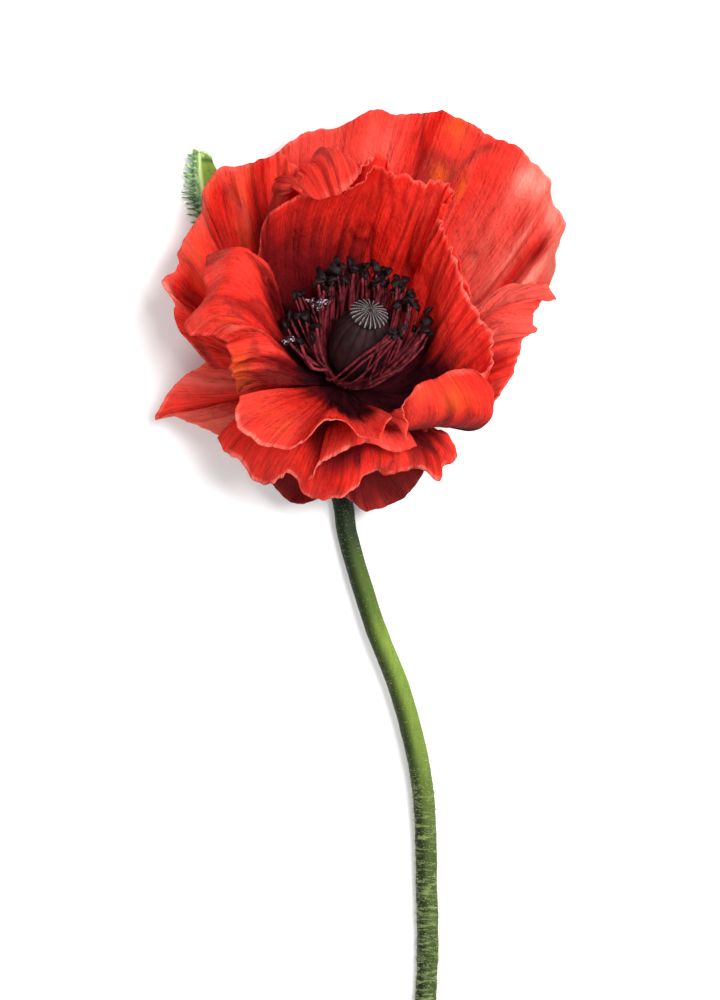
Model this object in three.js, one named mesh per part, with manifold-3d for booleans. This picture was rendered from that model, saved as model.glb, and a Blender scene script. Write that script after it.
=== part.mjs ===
// A cut oriental poppy lying on a table: one open red bloom on a bent green stem, seen from above.
// Millimetres, +Z up, the table at z = 0. X runs across the bloom and +Y from the cut end to the bloom.
// The origin is under the middle of the whole flower's outline.
import * as THREE from "three";
import { mergeVertices } from "three/addons/utils/BufferGeometryUtils.js";
import Module from "manifold-3d";

const wasm = await Module();
wasm.setup();

// ---- driving dimensions -------------------------------------------------------------------------
// x, y of the receptacle, so that the whole outline is centred on the origin
const BLOOM_FROM_ORIGIN = [-4.5, 63.7];
const RECEPTACLE_HEIGHT = 27; // the petals grow from here, above the table
const FACE_TILT = 45; // degrees the bloom faces away from straight up, towards its top
const FACE_HEADING = 19; // degrees that the facing direction turns from +Y towards +X
const PETAL_THICKNESS = 0.6;
const LEAF_THICKNESS = 0.7;
const CLEARANCE = 0.3; // between a piece and what carries it

const CORE_RADIUS = 3.2; // the core that the petals, stamens and capsule stand on
const CORE_BOTTOM = -4.2; // along the bloom's axis from the receptacle's centre
const CORE_TOP = 3.4;
const OUTER_LAYER = -2.9; // where the outermost petals sit on the core
const LAYER_PITCH = 0.95; // from there to each layer further in

// ---- the bloom's own directions -----------------------------------------------------------------
const rad = THREE.MathUtils.degToRad;
const heading = new THREE.Vector3(Math.sin(rad(FACE_HEADING)), Math.cos(rad(FACE_HEADING)), 0);
const up = new THREE.Vector3(0, 0, 1);
const [lean, rise] = [Math.sin(rad(FACE_TILT)), Math.cos(rad(FACE_TILT))];
const axis = heading.clone().multiplyScalar(lean).addScaledVector(up, rise);
const back = heading.clone().multiplyScalar(rise).addScaledVector(up, -lean);
const right = new THREE.Vector3().crossVectors(heading, up);
const receptacle = new THREE.Vector3(...BLOOM_FROM_ORIGIN, RECEPTACLE_HEIGHT);

// The point at an azimuth (degrees, clockwise from the back), a radius and a height along the axis.
function onBloom(azimuth, radius, along) {
  return receptacle.clone()
    .addScaledVector(back, radius * Math.cos(rad(azimuth)))
    .addScaledVector(right, radius * Math.sin(rad(azimuth)))
    .addScaledVector(axis, along);
}

// Points given as x, y from the receptacle and a height above the table.
function fromReceptacle(rows) {
  return rows.map(([x, y, z]) => new THREE.Vector3(BLOOM_FROM_ORIGIN[0] + x, BLOOM_FROM_ORIGIN[1] + y, z));
}

// Catmull-Rom through rows of numbers, t from 0 to 1.
function through(rows, t) {
  const last = rows.length - 1;
  const s = Math.min(Math.max(t, 0) * last, last - 1e-9);
  const i = Math.floor(s);
  const f = s - i;
  const [p0, p1, p2, p3] = [rows[Math.max(i - 1, 0)], rows[i], rows[i + 1], rows[Math.min(i + 2, last)]];
  return p1.map((_, k) => 0.5 * (2 * p1[k] + (p2[k] - p0[k]) * f
    + (2 * p0[k] - 5 * p1[k] + 4 * p2[k] - p3[k]) * f * f
    + (3 * p1[k] - p0[k] - 3 * p2[k] + p3[k]) * f * f * f));
}
const along = (values, t) => through(values.map((v) => [v]), t)[0];

// ---- petals -------------------------------------------------------------------------------------
// Each petal is a fan of ribs from its seat on the core to its rim. rim: points [x, y, height above the
// table] clockwise, x and y from the receptacle. launch: degrees from the bloom's axis at which the ribs
// leave the seat. belly: how far they go that way, as a share of their length. curl: degrees that they
// turn in at the rim, or roll out where negative. Lists are read along the rim. layer 0 is outermost.
const petals = {
  petal_back_outer: {
    layer: 0, azimuth: 5, claw: 70, launch: 102, belly: [0.4, 0.45, 0.46, 0.44, 0.42],
    curl: [20, 25, 25, 40, 55], waves: 6, ruffle: 1.1, columns: 26,
    rim: [[-29, 71, 9], [-21.5, 78.5, 11], [-13.5, 84, 13], [-1.5, 86, 15], [8, 92, 17], [17, 90.5, 14],
      [25, 90.5, 15], [33.5, 91, 17], [42, 88, 16], [48.3, 84, 15], [57, 80, 17], [63.2, 74.5, 19],
      [68, 66.5, 20], [71, 58, 21.5], [72, 49, 23], [70, 39, 25], [65.5, 31, 27]],
  },
  petal_bottom_outer: {
    layer: 0, azimuth: 172, claw: 62, launch: 118, belly: [0.4, 0.35, 0.4], curl: [20, 10, 20],
    waves: 4, ruffle: 0.8, columns: 16,
    rim: [[27, -27, 24], [24.5, -32, 20], [20.5, -36.5, 17], [16, -40, 14], [11, -41.3, 14],
      [6.5, -42.3, 15], [2.5, -39, 16], [-2, -37, 18], [-8, -38, 17], [-14, -39.3, 15],
      [-19, -38.3, 15], [-23, -35, 17], [-26.5, -31, 20]],
  },
  petal_pointed: {
    layer: 0, azimuth: -114, claw: 62, launch: 108, belly: [0.35, 0.35, 0.35], curl: [10, 0, 10],
    waves: 5, ruffle: 0.8, columns: 18,
    rim: [[-34, -24, 24], [-42, -17.3, 20], [-48, -14, 18], [-54, -11.8, 15], [-59, -9.8, 13],
      [-64, -11, 10], [-58.5, -2.5, 15], [-53.5, 2.8, 18], [-49, 6, 19], [-42.5, 9.5, 20]],
  },
  petal_left_outer: {
    layer: 1, azimuth: -62, claw: 68, launch: 101, belly: [0.35, 0.4, 0.45, 0.5, 0.54, 0.54, 0.44],
    curl: [-20, 0, 10, 15, 20, 20, 20, 20, 20, 110, 145, 120, 30, 20], waves: 5, ruffle: 0.8, columns: 32,
    rim: [[-44, 5, 22], [-50.5, 13, 25], [-56, 20.5, 28], [-57, 27, 30], [-60, 34, 31], [-56, 39.5, 27],
      [-53, 48.5, 22], [-48.3, 57.5, 22], [-47, 66, 25], [-42, 72.5, 27], [-34.3, 73.5, 29], [-28, 75, 31],
      [-20.5, 77, 33], [-16.5, 70, 40], [-13, 63, 43], [-5, 62, 45], [0.5, 64.3, 47], [4.5, 69, 43],
      [7.7, 75.5, 36], [11.5, 77.5, 32], [15, 73, 29]],
  },
  petal_right_outer: {
    layer: 1, azimuth: 97, claw: 68, launch: 106, belly: [0.6, 0.56, 0.56, 0.6],
    curl: [0, -40, -50, 10, 20], waves: 5, ruffle: 1.0, columns: 24,
    rim: [[44, 27, 29], [52, 29, 31], [61, 33.3, 34], [67, 34, 35], [70.3, 28.5, 33], [65.5, 28, 34],
      [63.5, 23.5, 35], [63.7, 18.5, 37], [59.5, 15.5, 37], [58, 10.5, 37], [55.5, 5, 36.5],
      [53.5, 0, 35.5], [51, -5, 34], [46.5, -10, 32]],
  },
  petal_front_outer: {
    layer: 1, azimuth: 197, claw: 70, launch: 96, belly: [0.65, 0.5, 0.4], curl: [-40, -70, -70, -50],
    waves: 6, ruffle: 0.7, columns: 26,
    rim: [[29, -18.5, 34], [34, -19.5, 34], [36.7, -24.5, 32], [33, -27.5, 32], [31.5, -32, 31],
      [25.5, -28, 33], [20, -28.5, 36], [14.3, -30.7, 37], [8.5, -30.5, 38], [2.5, -34.7, 37],
      [-3.5, -38, 35], [-8.5, -39, 34], [-12.5, -36.3, 34], [-17.5, -30.7, 36], [-22, -31, 37],
      [-26.5, -33.7, 35], [-31, -31, 34], [-35, -25, 34], [-39, -22, 33], [-43, -18, 32]],
  },
  petal_front_middle: {
    layer: 2, azimuth: 165, claw: 62, launch: 98, belly: [0.64, 0.53, 0.48], curl: [-40, -60, -30],
    waves: 4, ruffle: 0.6, columns: 16,
    rim: [[24, -20, 44], [18, -23, 46], [10, -20, 48], [6, -20, 49], [0.7, -21.3, 49], [-4.3, -24, 48],
      [-8.3, -27, 46], [-11.3, -31.7, 43]],
  },
  petal_back_inner: {
    layer: 3, azimuth: -14, claw: 70, launch: 92, belly: [0.4, 0.42, 0.5, 0.54, 0.57],
    curl: [20, 40, 50, 45, 25, 10, 20, 30], waves: 6, ruffle: 0.7, columns: 28,
    rim: [[-29.5, 38, 36], [-28.5, 49, 36], [-24.5, 58, 37], [-16, 63, 38], [-6, 63.5, 41], [2.5, 65, 45],
      [7, 69.5, 46], [11.5, 71.7, 46], [17, 70.5, 45], [23, 67.2, 44], [29, 67, 43], [34, 67, 42],
      [35, 62, 42], [31.5, 57, 42], [32, 52, 42], [35, 46, 41], [37.5, 39, 40], [42, 29, 38]],
  },
  petal_right_inner: {
    layer: 4, azimuth: 125, claw: 75, launch: 90, belly: [0.52, 0.52, 0.54, 0.62, 0.78, 0.6, 0.4, 0.3],
    curl: [30, 10, 10, 15, 50, 100, 105, 80, 10, -40], waves: 7, ruffle: 0.6, columns: 32,
    rim: [[35.5, 46, 44], [37.5, 40, 47], [41, 31.7, 50], [44.7, 24, 54], [48, 18.5, 56], [49.5, 13, 57],
      [49, 7.5, 57], [46.5, 3.5, 57], [41, 5.5, 59], [35, 4, 60], [28.5, 1.5, 62], [22.5, -1.5, 63],
      [19.7, -7, 62], [20.5, -13, 60], [22.5, -18.5, 57]],
  },
  petal_front_inner: {
    layer: 5, azimuth: -163, claw: 70, launch: 86, belly: [0.35, 0.35, 0.35],
    curl: [-10, 10, -15, -20, -15], waves: 5, ruffle: 0.5, columns: 24,
    rim: [[16.5, -11.5, 66], [12, -17, 65], [9, -18, 65], [3.5, -15, 67], [-2, -12.7, 68],
      [-6.5, -12.3, 69], [-10, -15.3, 67], [-14, -20.3, 64], [-18, -22.3, 61], [-24, -20.3, 60],
      [-30, -18.3, 58], [-34.5, -14.7, 57], [-36.3, -9.3, 56], [-35, -4, 55]],
  },
  petal_left_inner: {
    layer: 6, azimuth: -97, claw: 68, launch: 89, belly: [0.42, 0.42, 0.45, 0.5, 0.6],
    curl: [-10, -40, -80, -90, -90, -80, -20], waves: 6, ruffle: 0.7, columns: 26,
    rim: [[-33, 0, 56], [-37, 1.5, 56], [-38, 5, 56], [-37.5, 10, 56], [-40, 14.3, 54], [-45, 15.3, 52],
      [-50, 16, 50], [-51.5, 19, 50], [-49.5, 25, 50], [-47, 31.7, 50], [-48, 38, 49], [-45, 42, 48],
      [-40, 42.7, 50], [-35, 42.3, 52], [-32.3, 39.5, 52]],
  },
};
const PETAL_ROWS = 7;
// How far a curl bends a rib, as a share of its length: with no curl, and what a full one adds.
const RIM_REACH = [0.3, 0.42];
const FULL_CURL = 130; // degrees

// A point of a petal: u from 0 to 1 along the rim, v from 0 at the seat to 1 at the rim.
function petalPoint(petal, u, v) {
  const seatRadius = CORE_RADIUS + CLEARANCE + PETAL_THICKNESS / 2;
  const seatHeight = OUTER_LAYER + petal.layer * LAYER_PITCH;
  const seat = onBloom(petal.azimuth + (u - 0.5) * petal.claw, seatRadius, seatHeight);
  const [rim] = fromReceptacle([through(petal.rim, u)]);
  const chord = rim.clone().sub(seat);
  const length = chord.length();
  chord.normalize();
  const rise = chord.dot(axis);
  const outward = chord.clone().addScaledVector(axis, -rise).normalize();
  const outside = outward.clone().multiplyScalar(rise).addScaledVector(axis, -chord.dot(outward));
  const start = length * along(petal.belly, u);
  const launch = rad(petal.launch);
  const curl = along(petal.curl, u);
  const reach = length * (RIM_REACH[0] + RIM_REACH[1] * Math.abs(curl) / FULL_CURL);
  const p1 = seat.clone().addScaledVector(axis, start * Math.cos(launch))
    .addScaledVector(outward, start * Math.sin(launch));
  const p2 = rim.clone().addScaledVector(chord, -reach * Math.cos(rad(curl)))
    .addScaledVector(outside, reach * Math.sin(rad(curl)));
  const w = 1 - v;
  return seat.multiplyScalar(w * w * w).addScaledVector(p1, 3 * w * w * v)
    .addScaledVector(p2, 3 * w * v * v).addScaledVector(rim, v * v * v);
}

// The ruffle along the rim, from -1 to 1. Its waves are unevenly wide.
const WAVE_DRIFT = 0.35; // waves
const DRIFT_TURNS = 1.3; // along the rim
function wave(petal, u) {
  const drift = WAVE_DRIFT * Math.sin(2 * Math.PI * DRIFT_TURNS * u + petal.layer);
  return Math.sin(2 * Math.PI * (petal.waves * u + drift));
}

// The petal's mid surface as columns of points, ruffled towards the rim and flattened by the table.
function petalGrid(petal) {
  const grid = [];
  for (let i = 0; i <= petal.columns; i++) {
    const column = [];
    for (let j = 0; j <= PETAL_ROWS; j++) column.push(petalPoint(petal, i / petal.columns, j / PETAL_ROWS));
    grid.push(column);
  }
  const normals = gridNormals(grid);
  grid.forEach((column, i) => column.forEach((p, j) => {
    const v = j / PETAL_ROWS;
    p.addScaledVector(normals[i][j], petal.ruffle * v * v * wave(petal, i / petal.columns));
    p.z = Math.max(p.z, PETAL_THICKNESS / 2);
  }));
  return grid;
}

function gridNormals(grid) {
  const [m, n] = [grid.length - 1, grid[0].length - 1];
  return grid.map((column, i) => column.map((_, j) => {
    const du = grid[Math.min(i + 1, m)][j].clone().sub(grid[Math.max(i - 1, 0)][j]);
    const dv = grid[i][Math.min(j + 1, n)].clone().sub(grid[i][Math.max(j - 1, 0)]);
    return dv.cross(du).normalize();
  }));
}

// A closed blade of a grid: both faces are split into triangles alike, with a wall round the edge.
function blade(grid, thickness) {
  const [m, n] = [grid.length, grid[0].length];
  const normals = gridNormals(grid);
  const at = (i, j, side) => (i * n + j) * 2 + side;
  const position = [];
  grid.forEach((column, i) => column.forEach((p, j) => {
    for (const side of [-0.5, 0.5]) {
      position.push(...p.clone().addScaledVector(normals[i][j], side * thickness).toArray());
    }
  }));
  const index = [];
  const quad = (a, b, c, d) => index.push(a, b, c, a, c, d);
  for (let i = 0; i < m - 1; i++) for (let j = 0; j < n - 1; j++) {
    quad(at(i, j, 1), at(i, j + 1, 1), at(i + 1, j + 1, 1), at(i + 1, j, 1));
    quad(at(i, j, 0), at(i + 1, j, 0), at(i + 1, j + 1, 0), at(i, j + 1, 0));
  }
  for (let i = 0; i < m - 1; i++) {
    quad(at(i, 0, 0), at(i, 0, 1), at(i + 1, 0, 1), at(i + 1, 0, 0));
    quad(at(i, n - 1, 1), at(i, n - 1, 0), at(i + 1, n - 1, 0), at(i + 1, n - 1, 1));
  }
  for (let j = 0; j < n - 1; j++) {
    quad(at(0, j, 1), at(0, j, 0), at(0, j + 1, 0), at(0, j + 1, 1));
    quad(at(m - 1, j, 0), at(m - 1, j, 1), at(m - 1, j + 1, 1), at(m - 1, j + 1, 0));
  }
  return surface(position, index);
}

// ---- solids -------------------------------------------------------------------------------------
const WELD = 1e-4; // points nearer than this are one
function solidOf(geometry) {
  const plain = new THREE.BufferGeometry().setAttribute("position", geometry.getAttribute("position"));
  const merged = mergeVertices(plain.setIndex(geometry.index), WELD);
  const vertProperties = merged.getAttribute("position").array;
  const triVerts = new Uint32Array(merged.index.array);
  return new wasm.Manifold(new wasm.Mesh({ numProp: 3, vertProperties, triVerts }));
}

function surface(position, index) {
  const geometry = new THREE.BufferGeometry().setIndex(index);
  return geometry.setAttribute("position", new THREE.Float32BufferAttribute(position, 3));
}

function geometryOf(solid) {
  const { vertProperties, triVerts } = solid.getMesh();
  return surface([...vertProperties], [...triVerts]);
}

// Stands a shape that was turned about +Z on the bloom's axis, with its zero at the receptacle.
const onAxis = new THREE.Matrix4().makeBasis(right, back, axis).setPosition(receptacle);

function turned(profile, sides) {
  const outline = profile.map(([r, h]) => new THREE.Vector2(r, h));
  return new THREE.LatheGeometry(outline, sides).rotateX(Math.PI / 2).applyMatrix4(onAxis);
}

function tube(points, radius, sides, steps) {
  const circle = new THREE.Shape();
  for (let k = 0; k < sides; k++) {
    const angle = (2 * Math.PI * k) / sides;
    circle[k ? "lineTo" : "moveTo"](radius * Math.cos(angle), radius * Math.sin(angle));
  }
  const extrudePath = new THREE.CatmullRomCurve3(points);
  return new THREE.ExtrudeGeometry(circle, { extrudePath, steps, bevelEnabled: false });
}

// ---- stem ---------------------------------------------------------------------------------------
// The stem leaves the bloom against its axis, bends down to the table and lies along it to the cut.
const STEM_RADIUS = 3.6;
const STEM_SIDES = 10;
const STEM_STEPS = 22;
const NECK = [-8, -14]; // along the bloom's axis, the straight top of the stem
const STEM_LINE = [ // x, y from the receptacle, and the height of the middle above the table
  [-5.6, -16, 10.6], [-4.4, -27, 5.6], [-0.7, -39.3, 4.2], [1.2, -51.3, 4.6], [9.3, -78.3, 6.2],
  [18.5, -102.3, 6.4], [24.8, -127, 5.4], [26.7, -143.3, 4.6], [27.3, -165, 3.8], [27.7, -186.7, 3.2],
  [27, -205, 3.1], [26, -219, 3.1],
];
const CORE_PROFILE = [ // radius, height along the axis: neck, swelling, the core that the petals sit on
  [0, -14], [3.2, -13], [3.5, -10.5], [4.6, -8], [5.2, -6], [4.6, -4.9],
  [CORE_RADIUS, CORE_BOTTOM], [CORE_RADIUS, CORE_TOP], [0, CORE_TOP],
];
const CORE_SIDES = 16;
const TABLE = [200, 600, 20];
function stem() {
  const line = [onBloom(0, 0, NECK[0]), onBloom(0, 0, NECK[1]), ...fromReceptacle(STEM_LINE)];
  const table = new THREE.BoxGeometry(...TABLE).translate(0, 0, -TABLE[2] / 2);
  const stalk = solidOf(tube(line, STEM_RADIUS, STEM_SIDES, STEM_STEPS));
  return stalk.add(solidOf(turned(CORE_PROFILE, CORE_SIDES))).subtract(solidOf(table));
}

// ---- pistil -------------------------------------------------------------------------------------
// A ribbed capsule on a short stalk, under a domed disc with raised rays.
const RAYS = 12;
const PISTIL_PROFILE = [ // radius, height along the axis, depth of the furrows between the rays
  [2.9, CORE_TOP + CLEARANCE, 0], [2.9, 6.4, 0], [5.4, 8.6, 0.2], [8.2, 12.4, 0.5], [9.6, 17, 0.7],
  [9.8, 22, 0.7], [9, 27, 0.6], [7, 31, 0.4], [5.2, 33.4, 0.2], [6.2, 33.9, 0.6], [6, 35.1, 0.8],
  [3.8, 36.3, 0.6],
];
const PISTIL_TIP = 36.7;
const COLUMNS_A_RAY = 3;
function pistil() {
  const columns = RAYS * COLUMNS_A_RAY;
  const position = [...onBloom(0, 0, PISTIL_PROFILE[0][1]).toArray()];
  for (const [radius, height, furrow] of PISTIL_PROFILE) for (let k = 0; k < columns; k++) {
    const r = radius - (k % COLUMNS_A_RAY === 0 ? furrow : 0);
    position.push(...onBloom((360 * k) / columns, r, height).toArray());
  }
  position.push(...onBloom(0, 0, PISTIL_TIP).toArray());
  const index = [];
  const tip = position.length / 3 - 1;
  const lastRing = tip - columns;
  for (let k = 0; k < columns; k++) {
    const next = (k + 1) % columns;
    index.push(0, 1 + k, 1 + next, tip, lastRing + next, lastRing + k);
    for (let a = 1; a < lastRing; a += columns) {
      index.push(a + k, a + columns + k, a + columns + next, a + k, a + columns + next, a + next);
    }
  }
  return surface(position, index);
}

// ---- stamens ------------------------------------------------------------------------------------
// Filaments rise from one ring round the capsule's stalk, each with a dark anther at its end. They all
// bend away from the front of the bloom, so those rooted there cross before the capsule.
const STAMENS = 54;
const RING_PROFILE = [[3.3, 3.7], [5.9, 3.7], [5.6, 5.2], [3.3, 5.2], [3.3, 3.7]]; // radius, height
const RING_SIDES = 24;
const WHORLS = [[17.5, 36], [20, 34], [22, 31]]; // radius and height of the anthers, innermost whorl first
const WHORL_SPREAD = [2.5, 4]; // what chance adds to them
const FAN_MIDDLE = -25; // azimuth of the middle of the anthers' arc
const FAN_SHARE = 0.47; // how much of the way round from the back the arc keeps
const FAN_DROP = [17, 9]; // how much lower the anthers stand at its left and right end
const FILAMENT_LINE = [[4.6, 4.6], [7, 7], [10.2, 11.4]]; // radius, height: clear of the capsule
const FILAMENT_LAST = [0.5, 0.6]; // shares of the way out and of the height of the anther
const FILAMENT_RADIUS = 0.55;
const FILAMENT_SIDES = 3;
const FILAMENT_STEPS = 4;
const SWAY = 10; // degrees that a filament may lean sideways
const TURN_RISE = 0.8; // below 1 a filament makes most of its turn near the stalk
const ANTHER = [1.2, 2.1]; // half width and half length
const ANTHER_PITCH = 1.6; // how far it may point up or down, as a slope
let seed = 20240611;
function random() {
  seed = (seed * 1664525 + 1013904223) % 4294967296;
  return seed / 4294967296;
}

function anther(place, direction) {
  const turn = new THREE.Quaternion().setFromUnitVectors(new THREE.Vector3(0, 1, 0), direction);
  const geometry = new THREE.OctahedronGeometry(1).scale(ANTHER[0], ANTHER[1], ANTHER[0]);
  return geometry.applyQuaternion(turn).translate(place.x, place.y, place.z);
}

function stamens() {
  let all = solidOf(turned(RING_PROFILE, RING_SIDES));
  for (let k = 0; k < STAMENS; k++) {
    const root = (360 * (k + 0.5 * random())) / STAMENS - 180;
    const radius = WHORLS[k % WHORLS.length][0] + WHORL_SPREAD[0] * random();
    const drop = FAN_DROP[root < 0 ? 0 : 1] * (root / 180) ** 2;
    const height = WHORLS[k % WHORLS.length][1] + WHORL_SPREAD[1] * random() - drop;
    const turn = FAN_MIDDLE + FAN_SHARE * root + SWAY * (random() - 0.5) - root;
    const reach = FILAMENT_LINE[2][0] + (radius - FILAMENT_LINE[2][0]) * FILAMENT_LAST[0];
    const line = [...FILAMENT_LINE, [reach, height * FILAMENT_LAST[1]], [radius, height]];
    const share = (n) => (n / (line.length - 1)) ** TURN_RISE;
    const points = line.map(([r, h], n) => onBloom(root + turn * share(n), r, h));
    const end = points[points.length - 1];
    const out = end.clone().sub(onBloom(0, 0, height)).normalize();
    const facing = out.addScaledVector(axis, ANTHER_PITCH * (random() - 0.5)).normalize();
    all = all.add(solidOf(tube(points, FILAMENT_RADIUS, FILAMENT_SIDES, FILAMENT_STEPS)))
      .add(solidOf(anther(end, facing)));
  }
  return all;
}

// ---- bract --------------------------------------------------------------------------------------
// A narrow toothed leaf below the bloom: its stalk leaves the stem under the petals, its blade lies on
// the table and looks out past the left petal.
const BRACT_LINE = [ // x, y from the receptacle, height above the table
  [-8, -8, 18], [-16, 1, 10], [-27, 16, 3], [-36, 33, 0], [-43.5, 50, 0], [-47, 62, 0.4], [-48.5, 70, 2],
  [-48.8, 78, 5],
];
const BRACT_COLUMNS = 72;
const BRACT_TEETH_FROM = 28; // the first toothed column; nearer the stem it is a plain stalk
const BRACT_HALF_WIDTH = [1.3, 1.6, 2.2, 4, 6.4, 6.8, 6.2, 3.6]; // along it
const BRACT_ROWS = [-1, -0.45, 0, 0.45, 1]; // across it, as shares of the half width
const BRACT_NOTCH = [0.45, 0.88]; // width left between two teeth, on the left and on the right
const BRACT_CUP = 0.4; // rise of its sides, as a share of their width
const TOOTH_SWEEP = 1.6; // how far a tooth points forward
function bract() {
  const curve = new THREE.CatmullRomCurve3(fromReceptacle(BRACT_LINE));
  const grid = [];
  for (let i = 0; i <= BRACT_COLUMNS; i++) {
    const t = i / BRACT_COLUMNS;
    const forward = curve.getTangent(t);
    const side = new THREE.Vector3().crossVectors(forward, up).normalize();
    const crown = new THREE.Vector3().crossVectors(side, forward);
    const toothed = i >= BRACT_TEETH_FROM;
    const notch = toothed && i % 2 === 0;
    grid.push(BRACT_ROWS.map((w) => {
      const width = along(BRACT_HALF_WIDTH, t) * (notch ? BRACT_NOTCH[w < 0 ? 0 : 1] : 1);
      const sweep = toothed && !notch && Math.abs(w) === 1 ? TOOTH_SWEEP : 0;
      const cup = BRACT_CUP * Math.max(Math.abs(w) + BRACT_ROWS[1], 0);
      const p = curve.getPoint(t).addScaledVector(side, w * width).addScaledVector(forward, sweep);
      p.addScaledVector(crown, cup * width);
      p.z = Math.max(p.z, LEAF_THICKNESS / 2);
      return p;
    }));
  }
  return blade(grid, LEAF_THICKNESS);
}

// ---- the flower ---------------------------------------------------------------------------------
const poppy = new THREE.Group();
function add(name, geometry, colour, roughness) {
  const finish = { color: colour, roughness, metalness: 0, side: THREE.DoubleSide };
  const mesh = new THREE.Mesh(geometry, new THREE.MeshStandardMaterial(finish));
  mesh.name = name;
  poppy.add(mesh);
}

for (const [name, petal] of Object.entries(petals)) {
  add(name, blade(petalGrid(petal), PETAL_THICKNESS), 0xd8201c, 0.6);
}
add("pistil", pistil(), 0x1c2420, 0.7);
add("stamens", geometryOf(stamens()), 0x2a0c16, 0.6);
add("bract", bract(), 0x4f8f3a, 0.65);
add("stem", geometryOf(stem()), 0x5f8a2c, 0.55);

export default poppy;
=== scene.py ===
import math

import bpy
import numpy as np
from bpy.props import FloatProperty, FloatVectorProperty, IntProperty, PointerProperty
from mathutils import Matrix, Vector


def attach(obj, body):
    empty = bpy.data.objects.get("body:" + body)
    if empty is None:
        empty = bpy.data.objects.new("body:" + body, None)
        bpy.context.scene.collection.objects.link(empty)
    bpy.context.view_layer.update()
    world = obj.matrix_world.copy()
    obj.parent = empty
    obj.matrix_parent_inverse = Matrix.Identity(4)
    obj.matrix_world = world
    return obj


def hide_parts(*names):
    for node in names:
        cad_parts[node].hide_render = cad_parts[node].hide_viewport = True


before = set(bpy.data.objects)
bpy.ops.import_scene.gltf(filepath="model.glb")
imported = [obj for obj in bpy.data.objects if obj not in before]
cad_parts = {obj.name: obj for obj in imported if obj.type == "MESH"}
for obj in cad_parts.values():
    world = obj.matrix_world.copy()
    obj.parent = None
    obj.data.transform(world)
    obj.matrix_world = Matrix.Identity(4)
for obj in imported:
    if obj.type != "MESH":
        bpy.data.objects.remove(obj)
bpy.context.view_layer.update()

bl_info = {
    "name": "Oriental poppy",
    "version": (1, 0),
    "blender": (4, 5, 0),
    "location": "View3D > Sidebar > Poppy",
    "description": "A cut oriental poppy lying on a table, seen from above",
    "category": "Add Mesh",
}

MM = 0.001

# ---- the bloom's own directions, in millimetres, as the solids have them --------------------------
BLOOM = np.array([-4.5, 63.7, 27.0])  # the receptacle
FACE_TILT, FACE_HEADING = math.radians(45), math.radians(19)
HEADING = np.array([math.sin(FACE_HEADING), math.cos(FACE_HEADING), 0.0])
UP = np.array([0.0, 0.0, 1.0])
AXIS = HEADING * math.sin(FACE_TILT) + UP * math.cos(FACE_TILT)
BACK = HEADING * math.cos(FACE_TILT) - UP * math.sin(FACE_TILT)
RIGHT = np.cross(HEADING, UP)
TABLE_UNDER_BLOOM = BLOOM * [1, 1, 0]  # outlines are measured from it
CORE_RADIUS, CLEARANCE, SOLID_THICKNESS = 3.2, 0.3, 0.6
OUTER_LAYER, LAYER_PITCH = -2.9, 0.95
RIM_REACH, FULL_CURL = (0.3, 0.42), 130.0
WAVE_DRIFT, DRIFT_TURNS = 0.35, 1.3

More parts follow.
